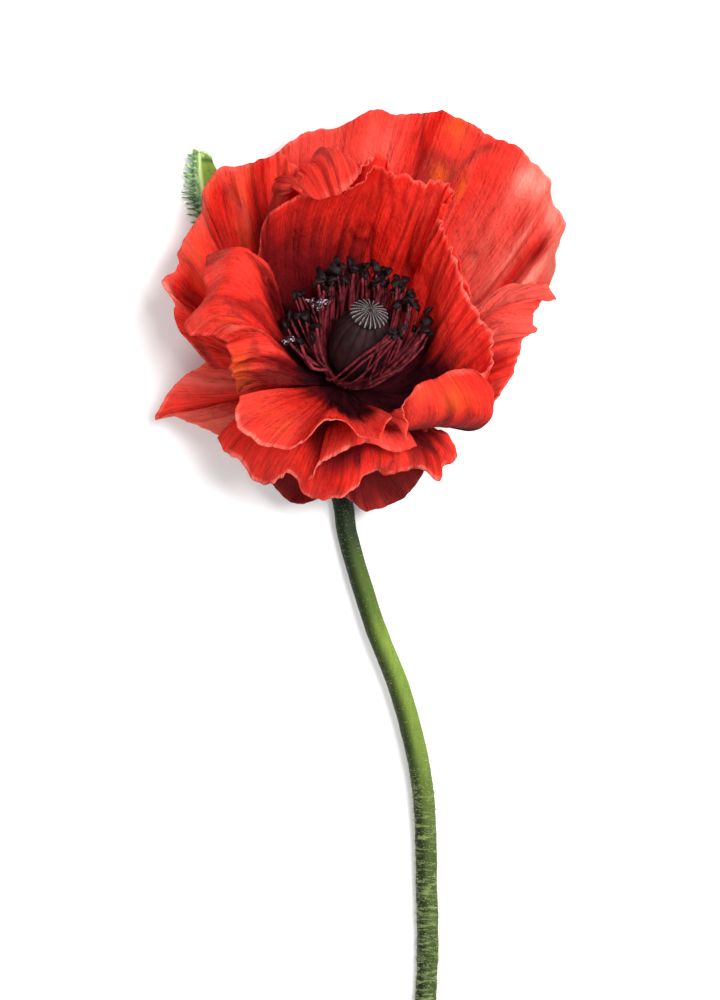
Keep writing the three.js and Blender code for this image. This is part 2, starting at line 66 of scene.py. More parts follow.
# Each petal is a fan of ribs from its seat on the core to its rim. rim: points x, y from the receptacle
# and a height above the table. launch: degrees from the axis at which the ribs leave. belly: how far
# they go that way, as a share of their length. curl: degrees that they turn in at the rim, or roll out.
PETALS = {
  "petal_back_outer": {
    "layer": 0, "azimuth": 5, "claw": 70, "launch": 102, "belly": [0.4, 0.45, 0.46, 0.44, 0.42],
    "curl": [20, 25, 25, 40, 55], "waves": 6, "ruffle": 1.1,
    "rim": [[-29, 71, 9], [-21.5, 78.5, 11], [-13.5, 84, 13], [-1.5, 86, 15], [8, 92, 17], [17, 90.5, 14],
      [25, 90.5, 15], [33.5, 91, 17], [42, 88, 16], [48.3, 84, 15], [57, 80, 17], [63.2, 74.5, 19],
      [68, 66.5, 20], [71, 58, 21.5], [72, 49, 23], [70, 39, 25], [65.5, 31, 27]],
  },
  "petal_bottom_outer": {
    "layer": 0, "azimuth": 172, "claw": 62, "launch": 118, "belly": [0.4, 0.35, 0.4],
    "curl": [20, 10, 20], "waves": 4, "ruffle": 0.8,
    "rim": [[27, -27, 24], [24.5, -32, 20], [20.5, -36.5, 17], [16, -40, 14], [11, -41.3, 14],
      [6.5, -42.3, 15], [2.5, -39, 16], [-2, -37, 18], [-8, -38, 17], [-14, -39.3, 15], [-19, -38.3, 15],
      [-23, -35, 17], [-26.5, -31, 20]],
  },
  "petal_pointed": {
    "layer": 0, "azimuth": -114, "claw": 62, "launch": 108, "belly": [0.35, 0.35, 0.35],
    "curl": [10, 0, 10], "waves": 5, "ruffle": 0.8,
    "rim": [[-34, -24, 24], [-42, -17.3, 20], [-48, -14, 18], [-54, -11.8, 15], [-59, -9.8, 13],
      [-64, -11, 10], [-58.5, -2.5, 15], [-53.5, 2.8, 18], [-49, 6, 19], [-42.5, 9.5, 20]],
  },
  "petal_left_outer": {
    "layer": 1, "azimuth": -62, "claw": 68, "launch": 101,
    "belly": [0.35, 0.4, 0.45, 0.5, 0.54, 0.54, 0.44],
    "curl": [-20, 0, 10, 15, 20, 20, 20, 20, 20, 110, 145, 120, 30, 20], "waves": 5, "ruffle": 0.8,
    "rim": [[-44, 5, 22], [-50.5, 13, 25], [-56, 20.5, 28], [-57, 27, 30], [-60, 34, 31], [-56, 39.5, 27],
      [-53, 48.5, 22], [-48.3, 57.5, 22], [-47, 66, 25], [-42, 72.5, 27], [-34.3, 73.5, 29],
      [-28, 75, 31], [-20.5, 77, 33], [-16.5, 70, 40], [-13, 63, 43], [-5, 62, 45], [0.5, 64.3, 47],
      [4.5, 69, 43], [7.7, 75.5, 36], [11.5, 77.5, 32], [15, 73, 29]],
  },
  "petal_right_outer": {
    "layer": 1, "azimuth": 97, "claw": 68, "launch": 106, "belly": [0.6, 0.56, 0.56, 0.6],
    "curl": [0, -40, -50, 10, 20], "waves": 5, "ruffle": 1.0,
    "rim": [[44, 27, 29], [52, 29, 31], [61, 33.3, 34], [67, 34, 35], [70.3, 28.5, 33], [65.5, 28, 34],
      [63.5, 23.5, 35], [63.7, 18.5, 37], [59.5, 15.5, 37], [58, 10.5, 37], [55.5, 5, 36.5],
      [53.5, 0, 35.5], [51, -5, 34], [46.5, -10, 32]],
  },
  "petal_front_outer": {
    "layer": 1, "azimuth": 197, "claw": 70, "launch": 96, "belly": [0.65, 0.5, 0.4],
    "curl": [-40, -70, -70, -50], "waves": 6, "ruffle": 0.7,
    "rim": [[29, -18.5, 34], [34, -19.5, 34], [36.7, -24.5, 32], [33, -27.5, 32], [31.5, -32, 31],
      [25.5, -28, 33], [20, -28.5, 36], [14.3, -30.7, 37], [8.5, -30.5, 38], [2.5, -34.7, 37],
      [-3.5, -38, 35], [-8.5, -39, 34], [-12.5, -36.3, 34], [-17.5, -30.7, 36], [-22, -31, 37],
      [-26.5, -33.7, 35], [-31, -31, 34], [-35, -25, 34], [-39, -22, 33], [-43, -18, 32]],
  },
  "petal_front_middle": {
    "layer": 2, "azimuth": 165, "claw": 62, "launch": 98, "belly": [0.64, 0.53, 0.48],
    "curl": [-40, -60, -30], "waves": 4, "ruffle": 0.6,
    "rim": [[24, -20, 44], [18, -23, 46], [10, -20, 48], [6, -20, 49], [0.7, -21.3, 49], [-4.3, -24, 48],
      [-8.3, -27, 46], [-11.3, -31.7, 43]],
  },
  "petal_back_inner": {
    "layer": 3, "azimuth": -14, "claw": 70, "launch": 92, "belly": [0.4, 0.42, 0.5, 0.54, 0.57],
    "curl": [20, 40, 50, 45, 25, 10, 20, 30], "waves": 6, "ruffle": 0.7,
    "rim": [[-29.5, 38, 36], [-28.5, 49, 36], [-24.5, 58, 37], [-16, 63, 38], [-6, 63.5, 41],
      [2.5, 65, 45], [7, 69.5, 46], [11.5, 71.7, 46], [17, 70.5, 45], [23, 67.2, 44], [29, 67, 43],
      [34, 67, 42], [35, 62, 42], [31.5, 57, 42], [32, 52, 42], [35, 46, 41], [37.5, 39, 40],
      [42, 29, 38]],
  },
  "petal_right_inner": {
    "layer": 4, "azimuth": 125, "claw": 75, "launch": 90,
    "belly": [0.52, 0.52, 0.54, 0.62, 0.78, 0.6, 0.4, 0.3],
    "curl": [30, 10, 10, 15, 50, 100, 105, 80, 10, -40], "waves": 7, "ruffle": 0.6,
    "rim": [[35.5, 46, 44], [37.5, 40, 47], [41, 31.7, 50], [44.7, 24, 54], [48, 18.5, 56],
      [49.5, 13, 57], [49, 7.5, 57], [46.5, 3.5, 57], [41, 5.5, 59], [35, 4, 60], [28.5, 1.5, 62],
      [22.5, -1.5, 63], [19.7, -7, 62], [20.5, -13, 60], [22.5, -18.5, 57]],
  },
  "petal_front_inner": {
    "layer": 5, "azimuth": -163, "claw": 70, "launch": 86, "belly": [0.35, 0.35, 0.35],
    "curl": [-10, 10, -15, -20, -15], "waves": 5, "ruffle": 0.5,
    "rim": [[16.5, -11.5, 66], [12, -17, 65], [9, -18, 65], [3.5, -15, 67], [-2, -12.7, 68],
      [-6.5, -12.3, 69], [-10, -15.3, 67], [-14, -20.3, 64], [-18, -22.3, 61], [-24, -20.3, 60],
      [-30, -18.3, 58], [-34.5, -14.7, 57], [-36.3, -9.3, 56], [-35, -4, 55]],
  },
  "petal_left_inner": {
    "layer": 6, "azimuth": -97, "claw": 68, "launch": 89, "belly": [0.42, 0.42, 0.45, 0.5, 0.6],
    "curl": [-10, -40, -80, -90, -90, -80, -20], "waves": 6, "ruffle": 0.7,
    "rim": [[-33, 0, 56], [-37, 1.5, 56], [-38, 5, 56], [-37.5, 10, 56], [-40, 14.3, 54], [-45, 15.3, 52],
      [-50, 16, 50], [-51.5, 19, 50], [-49.5, 25, 50], [-47, 31.7, 50], [-48, 38, 49], [-45, 42, 48],
      [-40, 42.7, 50], [-35, 42.3, 52], [-32.3, 39.5, 52]],
  },
}

# How each petal looks. Lists run along the rim. blotch and shade: how far up the ribs the near-black base
# and the dark maroon above it reach; that maroon is partly the petal's own and partly painted shade, deep
# in the bowl and under the petals that lie over it. pale: a painted salmon sheen towards the rim. crumple:
# times the common depth. pucker: height in mm of short waves at the rim. folds: u, width in u and height
# in mm of ridges along the ribs. glow, light, dark: u, v, reach in u, reach in v and strength of spots of
# painted light: glow spots are orange where light comes through, light spots are painted highlights and
# dark spots are painted shade in the dark of a fold. The rim band's strength: times the common strength
# of the painted highlight band along the rim there.
LOOKS = {
  "petal_back_outer": {
    "blotch": [0.2], "shade": [0.25], "pale": [0.3, 0.3, 0.12, 0.3, 0.8, 0.8],
    "crumple": [1.2, 1.2, 1.2, 1.2, 1.0, 0.4], "rim_highlight": 0.5,
    "folds": [(0.86, 0.02, 4.0), (0.79, 0.013, 2.4), (0.34, 0.01, 1.6), (0.42, 0.008, -1.5),
      (0.55, 0.009, 1.4), (0.2, 0.008, -1.2)],
    "light": [(0.7, 0.93, 0.035, 0.07, 0.8), (0.83, 0.98, 0.13, 0.06, 1.0), (0.91, 0.92, 0.05, 0.09, 0.8),
      (0.87, 0.7, 0.024, 0.2, 1.3), (0.77, 0.78, 0.008, 0.12, 0.9), (0.3, 0.85, 0.05, 0.12, 0.4)],
    "dark": [(0.81, 0.72, 0.022, 0.14, 0.3), (0.74, 0.84, 0.018, 0.06, 0.2),
      (0.42, 0.93, 0.012, 0.12, 0.15), (0.83, 0.86, 0.02, 0.05, 0.25)],
    "glow": [(0.47, 0.97, 0.03, 0.04, 0.9), (0.49, 0.82, 0.022, 0.08, 0.8),
      (0.56, 0.82, 0.015, 0.05, 0.8)],
  },
  "petal_bottom_outer": {
    "blotch": [0.15], "shade": [1.5, 1.35, 1.5], "pale": [0.3], "crumple": 0.6,
  },
  "petal_pointed": {
    "blotch": [0.15], "shade": [0.3], "pale": [0.9, 1.1, 0.9], "crumple": 1.0,
    "dark": [(0.5, 0.62, 0.25, 0.2, 0.16)],
  },
  "petal_left_outer": {
    "blotch": [0.2], "shade": [0.45, 0.4, 0.6, 0.5, 0.45], "pale": [0.12, 0.15, 0.15, 0.1],
    "crumple": 1.3, "pucker": [0.2, 0.2, 0.2, 0.3, 0.8, 0.8, 0.3], "rim_highlight": 0.9,
    "folds": [(0.3, 0.011, 1.4), (0.49, 0.014, 1.8), (0.535, 0.016, -1.8), (0.2, 0.01, 1.0)],
    "light": [(0.38, 0.98, 0.1, 0.05, 0.4), (0.18, 0.98, 0.03, 0.05, 0.7), (0.49, 0.8, 0.012, 0.25, 0.1)],
    "dark": [(0.41, 0.78, 0.03, 0.15, 0.45), (0.535, 0.7, 0.018, 0.25, 0.8),
      (0.22, 0.85, 0.025, 0.08, 0.6)],
    "glow": [(0.485, 0.74, 0.022, 0.17, 0.6), (0.3, 0.9, 0.04, 0.08, 0.35),
      (0.5, 0.97, 0.12, 0.05, 0.25)],
  },
  "petal_right_outer": {
    "blotch": [0.2], "shade": [0.25, 0.4, 0.8, 1.1], "pale": [1.0, 0.6, 0.3, 0.3], "crumple": 1.6,
    "pucker": [0.5],
    "dark": [(0.72, 0.85, 0.05, 0.1, 0.2)],
  },
  "petal_front_outer": {
    "blotch": [0.2], "shade": [0.9, 0.82, 0.7, 0.55], "pale": [0.12], "crumple": 1.1,
    "pucker": [0.3, 0.35, 0.25], "rim_highlight": 2.2,
    "dark": [(0.47, 0.62, 0.1, 0.16, 0.45), (0.2, 0.7, 0.08, 0.12, 0.3)],
  },
  "petal_front_middle": {
    "blotch": [0.2], "shade": [0.55], "pale": [0.2], "crumple": 1.0, "rim_highlight": 2.2,
  },
  "petal_back_inner": {
    "blotch": [0.5, 0.46, 0.42, 0.38], "shade": [1.45, 0.95, 0.48, 0.26, 0.3], "pale": [0.0, 0.0, 0.05],
    "crumple": [1.0, 1.0, 1.3, 2.0, 1.2, 1.0], "pucker": [0.1, 0.2, 0.5, 0.9, 1.1, 0.5], "rim_highlight": 0.8,
    "light": [(0.6, 0.9, 0.2, 0.1, 0.12)],
    "folds": [(0.45, 0.01, -0.8), (0.62, 0.01, 0.8)],
  },
  "petal_right_inner": {
    "blotch": [0.46, 0.54, 0.5, 0.3, 0.3], "shade": [0.6, 0.64, 0.66, 0.72, 0.8, 0.75, 0.4],
    "pale": [0.1, 0.1, 0.05, 0.3], "crumple": 1.1, "pucker": [0.7, 0.6, 0.6, 0.4, 0.2, 0.2, 0.2],
    "rim_highlight": 1.2,
    "glow": [(0.66, 0.85, 0.05, 0.1, 0.5), (0.8, 0.95, 0.04, 0.05, 0.8)],
  },
  "petal_front_inner": {
    "blotch": [0.55, 0.5, 0.34, 0.2, 0.22], "shade": [0.7, 0.62, 0.46, 0.36, 0.5],
    "pale": [0.2, 0.15, 0.3], "crumple": 0.9, "rim_highlight": 2.0,
    "glow": [(0.8, 0.75, 0.15, 0.15, 0.25)],
  },
  "petal_left_inner": {
    "blotch": [0.34, 0.4, 0.32, 0.28], "shade": [1.2, 0.68, 0.42, 0.45, 0.68, 1.0], "pale": [0.1],
    "crumple": 1.7, "rim_highlight": 0.6, "pucker": [1.5, 2.2, 1.6, 0.5, 0.2, 0.0, 0.0, 0.0],
    "folds": [(0.33, 0.022, 1.3), (0.22, 0.016, 1.5), (0.13, 0.014, 1.3), (0.45, 0.012, 1.1),
      (0.56, 0.014, -1.0)],
    "light": [(0.33, 0.88, 0.03, 0.05, 0.35), (0.6, 0.92, 0.2, 0.05, 0.25), (0.08, 0.5, 0.05, 0.2, 0.3)],
    "glow": [(0.04, 0.92, 0.08, 0.1, 0.6), (0.17, 0.95, 0.07, 0.07, 0.5), (0.35, 0.8, 0.06, 0.1, 0.35)],
  },
}


def linear(hex_colour):
    """The linear colour of an sRGB hex value."""
    parts = [int(hex_colour[k:k + 2], 16) / 255 for k in (1, 3, 5)]
    return tuple(c / 12.92 if c <= 0.04045 else ((c + 0.055) / 1.055) ** 2.4 for c in parts)


# ---- numbers over arrays --------------------------------------------------------------------------
def through(rows, t):
    """Catmull-Rom through rows of numbers at an array t of places from 0 to 1."""
    rows = np.atleast_2d(np.asarray(rows, float).T).T
    last = len(rows) - 1
    s = np.clip(np.asarray(t, float) * last, 0, last - 1e-9)
    i = s.astype(int)
    f = (s - i)[:, None]
    p0, p1, p2, p3 = (rows[np.clip(i + k, 0, last)] for k in (-1, 0, 1, 2))
    return 0.5 * (2 * p1 + (p2 - p0) * f + (2 * p0 - 5 * p1 + 4 * p2 - p3) * f ** 2
                  + (3 * p1 - p0 - 3 * p2 + p3) * f ** 3)


def unit(vectors):
    """Vectors divided by their lengths."""
    return vectors / np.maximum(np.linalg.norm(vectors, axis=-1, keepdims=True), 1e-12)


def smooth(x, low, high):
    """0 below low, 1 above high, and a smooth step between."""
    t = np.clip((x - low) / (high - low), 0, 1)
    return t * t * (3 - 2 * t)


def patches(rng, x, y, size_x, size_y):
    """Smooth chance heights from -1 to 1 over x and y in mm: random values on a lattice of size_x by
    size_y cells, joined by smooth steps."""
    x, y = (x - x.min()) / size_x + rng.random(), (y - y.min()) / size_y + rng.random()
    i, j = x.astype(int), y.astype(int)
    f, g = smooth(x - i, 0, 1), smooth(y - j, 0, 1)
    knots = rng.uniform(-1, 1, (i.max() + 2, j.max() + 2))
    return ((knots[i, j] * (1 - f) + knots[i + 1, j] * f) * (1 - g)
            + (knots[i, j + 1] * (1 - f) + knots[i + 1, j + 1] * f) * g)


def on_bloom(azimuth, radius, height):
    """Points at an azimuth in degrees clockwise from the back, a radius and a height along the axis."""
    a = np.radians(np.asarray(azimuth, float))[..., None]
    radius, height = np.asarray(radius, float)[..., None], np.asarray(height, float)[..., None]
    return BLOOM + BACK * radius * np.cos(a) + RIGHT * radius * np.sin(a) + AXIS * height


def grid_normals(points):
    """Unit normals of a grid of points: the cross product of its two directions."""
    return unit(np.cross(np.gradient(points, axis=1), np.gradient(points, axis=0)))


def grid_quads(columns, rows, closed=False):
    """Corner numbers of the quads of a grid of columns by rows points, wrapped round if closed."""
    i = np.arange(columns if closed else columns - 1)[:, None]
    j = np.arange(rows - 1)[None, :]
    k = (i + 1) % columns
    return np.stack([i * rows + j, i * rows + j + 1, k * rows + j + 1, k * rows + j], -1).reshape(-1, 4)


def turned_faces(columns, rows):
    """Faces of a turned profile: its quads, and a flat polygon at its foot and at its top."""
    foot = np.arange(columns) * rows
    return grid_quads(columns, rows, True).tolist() + [foot.tolist(), (foot[::-1] + rows - 1).tolist()]


def put_mesh(name, points, faces, material, uv=None, values=None, thickness=0):
    """A mesh object from points in mm and faces, with a UV map and named values at the points. A
    thickness in metres gives it walls, half on either side."""
    mesh = bpy.data.meshes.new(name)
    mesh.from_pydata((points.reshape(-1, 3) * MM).tolist(), [], [list(f) for f in faces])
    mesh.polygons.foreach_set("use_smooth", np.ones(len(mesh.polygons), bool))
    if uv is not None:
        corners = np.empty(len(mesh.loops), int)
        mesh.loops.foreach_get("vertex_index", corners)
        mesh.uv_layers.new(name="Ribs").data.foreach_set("uv", uv.reshape(-1, 2)[corners].ravel())
    for key, value in (values or {}).items():
        mesh.attributes.new(key, "FLOAT", "POINT").data.foreach_set("value", np.ravel(value))
    mesh.materials.append(material)
    mesh.update()
    piece = bpy.data.objects.new(name, mesh)
    bpy.context.scene.collection.objects.link(piece)
    if thickness:
        walls = piece.modifiers.new("Thickness", "SOLIDIFY")
        walls.thickness, walls.offset = thickness, 0
    return piece


def hold(piece, slot, *nodes):
    """Rides a piece on the one body and lets it stand for CAD nodes."""
    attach(piece, "root")
    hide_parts(*nodes)


# ---- materials ------------------------------------------------------------------------------------
def add(tree, kind, inputs, output=0, stops=(), **settings):
    """Adds a shader node and returns one of its outputs. inputs: by name or number, a value or another
    node's output. stops: a ramp's places, each with a colour or a grey. settings: its own properties."""
    node = tree.nodes.new("ShaderNode" + kind)
    for key, value in settings.items():
        setattr(node, key, value)
    for key, value in inputs.items():
        socket = node.inputs[key]
        if isinstance(value, bpy.types.NodeSocket):
            tree.links.new(value, socket)
        else:
            socket.default_value = (*value, 1) if socket.type == "RGBA" else value
    band = node.color_ramp.elements if stops else ()
    while len(band) < len(stops):
        band.new(0.5)
    for element, (place, colour) in zip(band, stops):
        element.position, element.color = place, (*np.broadcast_to(colour, 3), 1)
    return node.outputs[output] if node.outputs else None


def new_material(name):
    """A material with no nodes yet, and its tree."""
    material = bpy.data.materials.new(name)
    material.use_nodes = True
    material.node_tree.nodes.clear()
    return material, material.node_tree


def coats(tree, colour, *layers):
    """Lays colours over a colour, one after the other. layers: how much, as a pattern or as the name of
    one of the piece's values, and the colour."""
    for amount, over in layers:
        if isinstance(amount, str):
            amount = add(tree, "Attribute", {}, "Fac", attribute_name=amount)
        colour = add(tree, "Mix", {0: amount, 6: colour, 7: over}, 2, data_type="RGBA")
    return colour


def dress(tree, colour, height, strength, depth, roughness, specular):
    """Ends a material: one rough surface in a colour, with heights as relief of a depth in mm."""
    bump = add(tree, "Bump", {"Height": height, "Strength": strength, "Distance": depth * MM})
    body = add(tree, "BsdfPrincipled", {"Base Color": colour, "Normal": bump, "Roughness": roughness,
                                        "Specular IOR Level": specular})
    add(tree, "OutputMaterial", {"Surface": body})


# Cycles a centimetre across the ribs and along them, detail and roughness: streaks, clouds, veins, ridges,
# crumples and grain.
PETAL_NOISE = [(12, 0.5, 3, 0.6), (0.9, 0.5, 3, 0.55), (1.5, 0.3, 3, 0.5), (9, 0.35, 2, 0.5),
               (3.4, 2.6, 5, 0.65), (17, 6, 2, 0.5)]


def petal_material(colours):
    """Poppy petal: thin living tissue that dried crumpled in the bud. It is matt and silky, light comes
    through it, and fine ribs a millimetre apart run from the base to the rim. Its colour also carries
    painted light: painted shade deep in the bowl, in crease lines and in fold grooves, painted highlights
    on the ribs, on fold ridges and along the rim, a painted salmon sheen, and an orange painted glow
    where light comes through."""
    material, tree = new_material("poppy_petal_tissue")
    # Noise stretched along the ribs. Ridges lie 1 mm apart, crumples are 3 to 4 mm long, and the crepe
    # grain is 0.6 mm wide and 1.7 mm long.
    ribs_map = add(tree, "UVMap", {}, uv_map="Ribs")
    streaks, clouds, veins, ridges, crumples, grain = (
        add(tree, "TexNoise", {"Scale": 1, "Detail": detail, "Roughness": roughness, "Vector": add(
            tree, "Mapping", {"Vector": ribs_map, "Scale": (across, along, 1)})})
        for across, along, detail, roughness in PETAL_NOISE)
    colour = add(tree, "ValToRGB", {"Fac": streaks}, stops=[
        (0.3, [c * 0.74 for c in colours.petal]), (0.5, colours.petal), (0.7, colours.petal_light)])
    # Ribs a millimetre apart, with a painted highlight along the top of each.
    drawn_out = add(tree, "Mapping", {"Vector": ribs_map, "Scale": (1, 0.12, 1)})
    waves = add(tree, "TexWave", {"Vector": drawn_out, "Scale": 5, "Distortion": 5, "Detail": 3}, "Fac")
    rib_highlights = add(tree, "ValToRGB", {"Fac": waves}, stops=[(0.45, 0), (0.95, 0.13)])
    # Crease lines: painted shade, thin and dark where a slow noise crosses its middle.
    lines = add(tree, "ValToRGB", {"Fac": veins}, stops=[(0.482, 0), (0.5, 0.17), (0.518, 0)])
    # A painted highlight band along the rim, broken up by the streaks.
    rim_highlight = add(tree, "Math", {0: add(tree, "Attribute", {}, "Fac", attribute_name="rim_highlight"),
                             1: add(tree, "ValToRGB", {"Fac": streaks}, stops=[(0.38, 0.35), (0.6, 1)])},
              operation="MULTIPLY")
    base = add(tree, "ValToRGB", {"Fac": clouds}, stops=[(0.35, linear("#220810")),
                                                         (0.65, linear("#5A1822"))])
    # Over the streaks: painted highlights along the ribs, painted shade in crease lines and creases, painted
    # sheen and highlights, the rim's painted highlight band, the orange painted glow, the maroon foot with
    # painted shade deep in the bowl, and last the blotch, which is the petal's own.
    colour = coats(tree, colour, (rib_highlights, linear("#FF6A4A")), (lines, colours.petal_maroon_and_shade),
                   ("crease", colours.petal_maroon_and_shade), ("pale", colours.petal_pale),
                   ("sheen", linear("#FFC0B0")), (rim_highlight, linear("#FF9080")), ("painted_glow", colours.petal_painted_glow),
                   ("shade", colours.petal_maroon_and_shade), ("blotch", base))
    # Relief: ridges and crumples, with the crease lines as dents, and on them the grain.
    height = add(tree, "Math", {0: ridges, 1: crumples}, operation="ADD")
    height = add(tree, "Math", {0: height, 1: lines}, operation="SUBTRACT")
    bump = add(tree, "Bump", {"Height": height, "Strength": 0.9, "Distance": 1.0 * MM})
    bump = add(tree, "Bump", {"Height": grain, "Normal": bump, "Strength": 0.75, "Distance": 0.6 * MM})
    body = add(tree, "BsdfPrincipled", {"Base Color": colour, "Normal": bump, "Roughness": 0.62,
                                        "Specular IOR Level": 0.07})
    glow = add(tree, "BsdfTranslucent", {"Color": colour, "Normal": bump})
    add(tree, "OutputMaterial", {"Surface": add(tree, "MixShader", {"Fac": 0.46, 1: body, 2: glow})})
    return material


def plain_material(name, dark, light, scale, roughness, depth, specular=0.4, over=None):
    """Noise between two colours at a scale in cycles a metre, with the same noise as relief of a depth in
    mm. over: a value's name, the colour it lays over them in patches, and the patches' scale."""
    material, tree = new_material(name)
    place = add(tree, "TexCoord", {}, "Object")
    cloud = add(tree, "TexNoise", {"Vector": place, "Scale": scale, "Detail": 5, "Roughness": 0.6})
    colour = add(tree, "ValToRGB", {"Fac": cloud}, stops=[(0.35, dark), (0.65, light)])
    if over:
        value, colour_over, patch_scale = over
        fine = add(tree, "TexNoise", {"Vector": place, "Scale": patch_scale, "Detail": 2, "Roughness": 0.5})
        spots = add(tree, "ValToRGB", {"Fac": fine}, stops=[(0.5, 0), (0.66, 1)])
        where = add(tree, "Attribute", {}, "Fac", attribute_name=value)
        amount = add(tree, "Math", {0: where, 1: spots}, operation="MULTIPLY")
        colour = coats(tree, colour, (amount, colour_over))
    dress(tree, colour, cloud, strength=0.8, depth=depth, roughness=roughness, specular=specular)
    return material


# ---- petals ---------------------------------------------------------------------------------------
PETAL_STEP = (0.75, 0.9)  # mm between columns at the rim, and between rows
RIB_SLACK = 1.15  # how much longer than its chord an arched rib is taken to be
# Chance relief: width across the ribs, length along them and height, in mm.
PLEATS = [(10, 60, 0.6), (5.5, 45, 0.45), (2.8, 30, 0.26)]
CRUMPLES = [(12, 10, 0.55), (6, 5.5, 0.36), (3.2, 3, 0.18)]
CREASES = [(7, 40, 0.5), (13, 26, 0.55)]
CREASE_SLOPE = 7  # how steeply a crease falls away from where its chance height crosses zero
CREASED = (19, 23)  # mm: the size of the patches that creases keep to
FRILL = [(7, 9, 0.9), (3.4, 9, 0.45)]
NIBBLE = [(4.2, 9, 0.5), (1.9, 9, 0.35), (1.0, 9, 0.2)]
PUCKER_WAVE, PUCKER_DRIFT, PUCKER_CELL = 4.6, 0.5, (11, 14)  # mm; waves that the pace drifts by; mm
HIGH_FOLD = 2  # mm: folds above this height end before the rim
# The width of the painted highlight band along the rim.
LIP = 1.7  # mm: the paler band along the rim
# Where up the ribs, as shares of them, each relief starts and is full.
FADES = {"pleats": (0.05, 0.7), "crumples": (0.15, 0.6), "frill": (0.82, 1.0), "creases": (0.2, 0.5),
         "puckers": (0.62, 0.95), "nibble": (0.85, 1.0), "folds": (0.25, 0.7)}


def petal_ribs(petal):
    """A petal before it crumples: a fan of cubic curves from its seat on the core to the rim. Their first
    handle leaves at the launch angle, their second sets the curl. Returns the points, u along the rim and
    v up the ribs as grids, and the lengths of the rim and of a rib in mm."""
    rim_line = through(petal["rim"], np.linspace(0, 1, 400))
    rim_length = np.linalg.norm(np.diff(rim_line, axis=0), axis=1).sum()
    u = np.linspace(0, 1, int(rim_length / PETAL_STEP[0]) + 1)
    seat = on_bloom(petal["azimuth"] + (u - 0.5) * petal["claw"],
                    CORE_RADIUS + CLEARANCE + SOLID_THICKNESS / 2,
                    OUTER_LAYER + petal["layer"] * LAYER_PITCH)
    rim = through(petal["rim"], u) + TABLE_UNDER_BLOOM
    chord = rim - seat
    length = np.linalg.norm(chord, axis=1, keepdims=True)
    chord = chord / length
    rise = chord @ AXIS
    outward = unit(chord - rise[:, None] * AXIS)
    outside = outward * rise[:, None] - AXIS * (chord * outward).sum(1, keepdims=True)
    start = length * through(petal["belly"], u)
    launch = math.radians(petal["launch"])
    curl = through(petal["curl"], u)
    reach = length * (RIM_REACH[0] + RIM_REACH[1] * np.abs(curl) / FULL_CURL)
    first = seat + start * (AXIS * math.cos(launch) + outward * math.sin(launch))
    second = rim - chord * reach * np.cos(np.radians(curl)) + outside * reach * np.sin(np.radians(curl))
    rib_length = length.mean()
    v = np.linspace(0, 1, int(rib_length * RIB_SLACK / PETAL_STEP[1]) + 1)
    u, v = np.meshgrid(u, v, indexing="ij")
    s = v[..., None]
    w = 1 - s
    points = (seat[:, None] * w ** 3 + first[:, None] * 3 * w * w * s + second[:, None] * 3 * w * s * s
              + rim[:, None] * s ** 3)
    return points, u, v, rim_length, rib_length


def petal_surface(name, petal, shape):
    """A petal's middle surface. On its ribs lie ruffles that grow with the square of the way out, pleats
    along the ribs, crumples, sharp creases where a chance height crosses zero, the petal's own folds
    (bell curves over u), a frill, and puckers, which are short waves along the rim at an uneven pace. At
    the rim each rib is a little longer or shorter by chance. Returns the points, the place on the flat
    petal in mm, the share of the way out, how deep in a crease each point is and how high on a fold."""
    rng = np.random.default_rng(sum(map(ord, name)))
    look = LOOKS[name]
    points, u, v, rim_length, rib_length = petal_ribs(petal)
    normals = grid_normals(points)
    fade = {relief: smooth(v, *ends) for relief, ends in FADES.items()}
    depth = shape.crinkle * through(look["crumple"], u[:, 0])
    turn = petal["waves"] * u + WAVE_DRIFT * np.sin(2 * np.pi * DRIFT_TURNS * u + petal["layer"])
    lift = petal["ruffle"] * v ** 2 * np.sin(2 * np.pi * turn)
    across, out = u * rim_length, v * rib_length
    pleats, frill, nibble = (sum(h * patches(rng, across, out * run, a, b) for a, b, h in rows)
                             for rows, run in ((PLEATS, 1), (FRILL, 0), (NIBBLE, 0)))
    crumples = sum(h * patches(rng, across + 0.4 * out, out - 0.3 * across, a, b) for a, b, h in CRUMPLES)
    crease = sum(h * np.maximum(1 - CREASE_SLOPE * np.abs(patches(rng, across, out, a, b)), 0)
                 for a, b, h in CREASES)
    crease = crease * smooth(patches(rng, across, out, *CREASED), -0.3, 0.5) * depth
    lift = lift + depth * (pleats * fade["pleats"] + crumples * fade["crumples"] + frill * fade["frill"])
    lift = lift + crease * fade["creases"]
    pucker = through(look.get("pucker", [0.0]), u[:, 0])
    pace = PUCKER_DRIFT * patches(np.random.default_rng(len(name)), across, out, *PUCKER_CELL)
    lift = lift + pucker * np.sin(2 * np.pi * (across / PUCKER_WAVE + pace)) * fade["puckers"]
    ridge = 0 * v
    for at, width, height in look.get("folds", ()):
        aside = (u - at - 0.01 * patches(rng, across * 0, out, 9, 16)) / width
        along = fade["folds"] * (1.3 - 0.85 * v) * (1 - smooth(v, 0.8, 1.0) * (height > HIGH_FOLD))
        lift = lift - height * np.exp(-aside ** 2) * along
        # The ridge mask lays a painted highlight on each fold's ridge and painted shade in the groove beside
        # it.
        groove = 0.7 * np.exp(-(aside + 1.5) ** 2)
        ridge = ridge + (np.exp(-(1.4 * aside) ** 2) * (height > 0) - groove) * along
    points = points + normals * lift[..., None]
    points = points + unit(np.gradient(points, axis=1)) * (nibble * fade["nibble"])[..., None]
    points[..., 2] = np.maximum(points[..., 2], SOLID_THICKNESS / 2)
    return points, across, out, v, crease, ridge


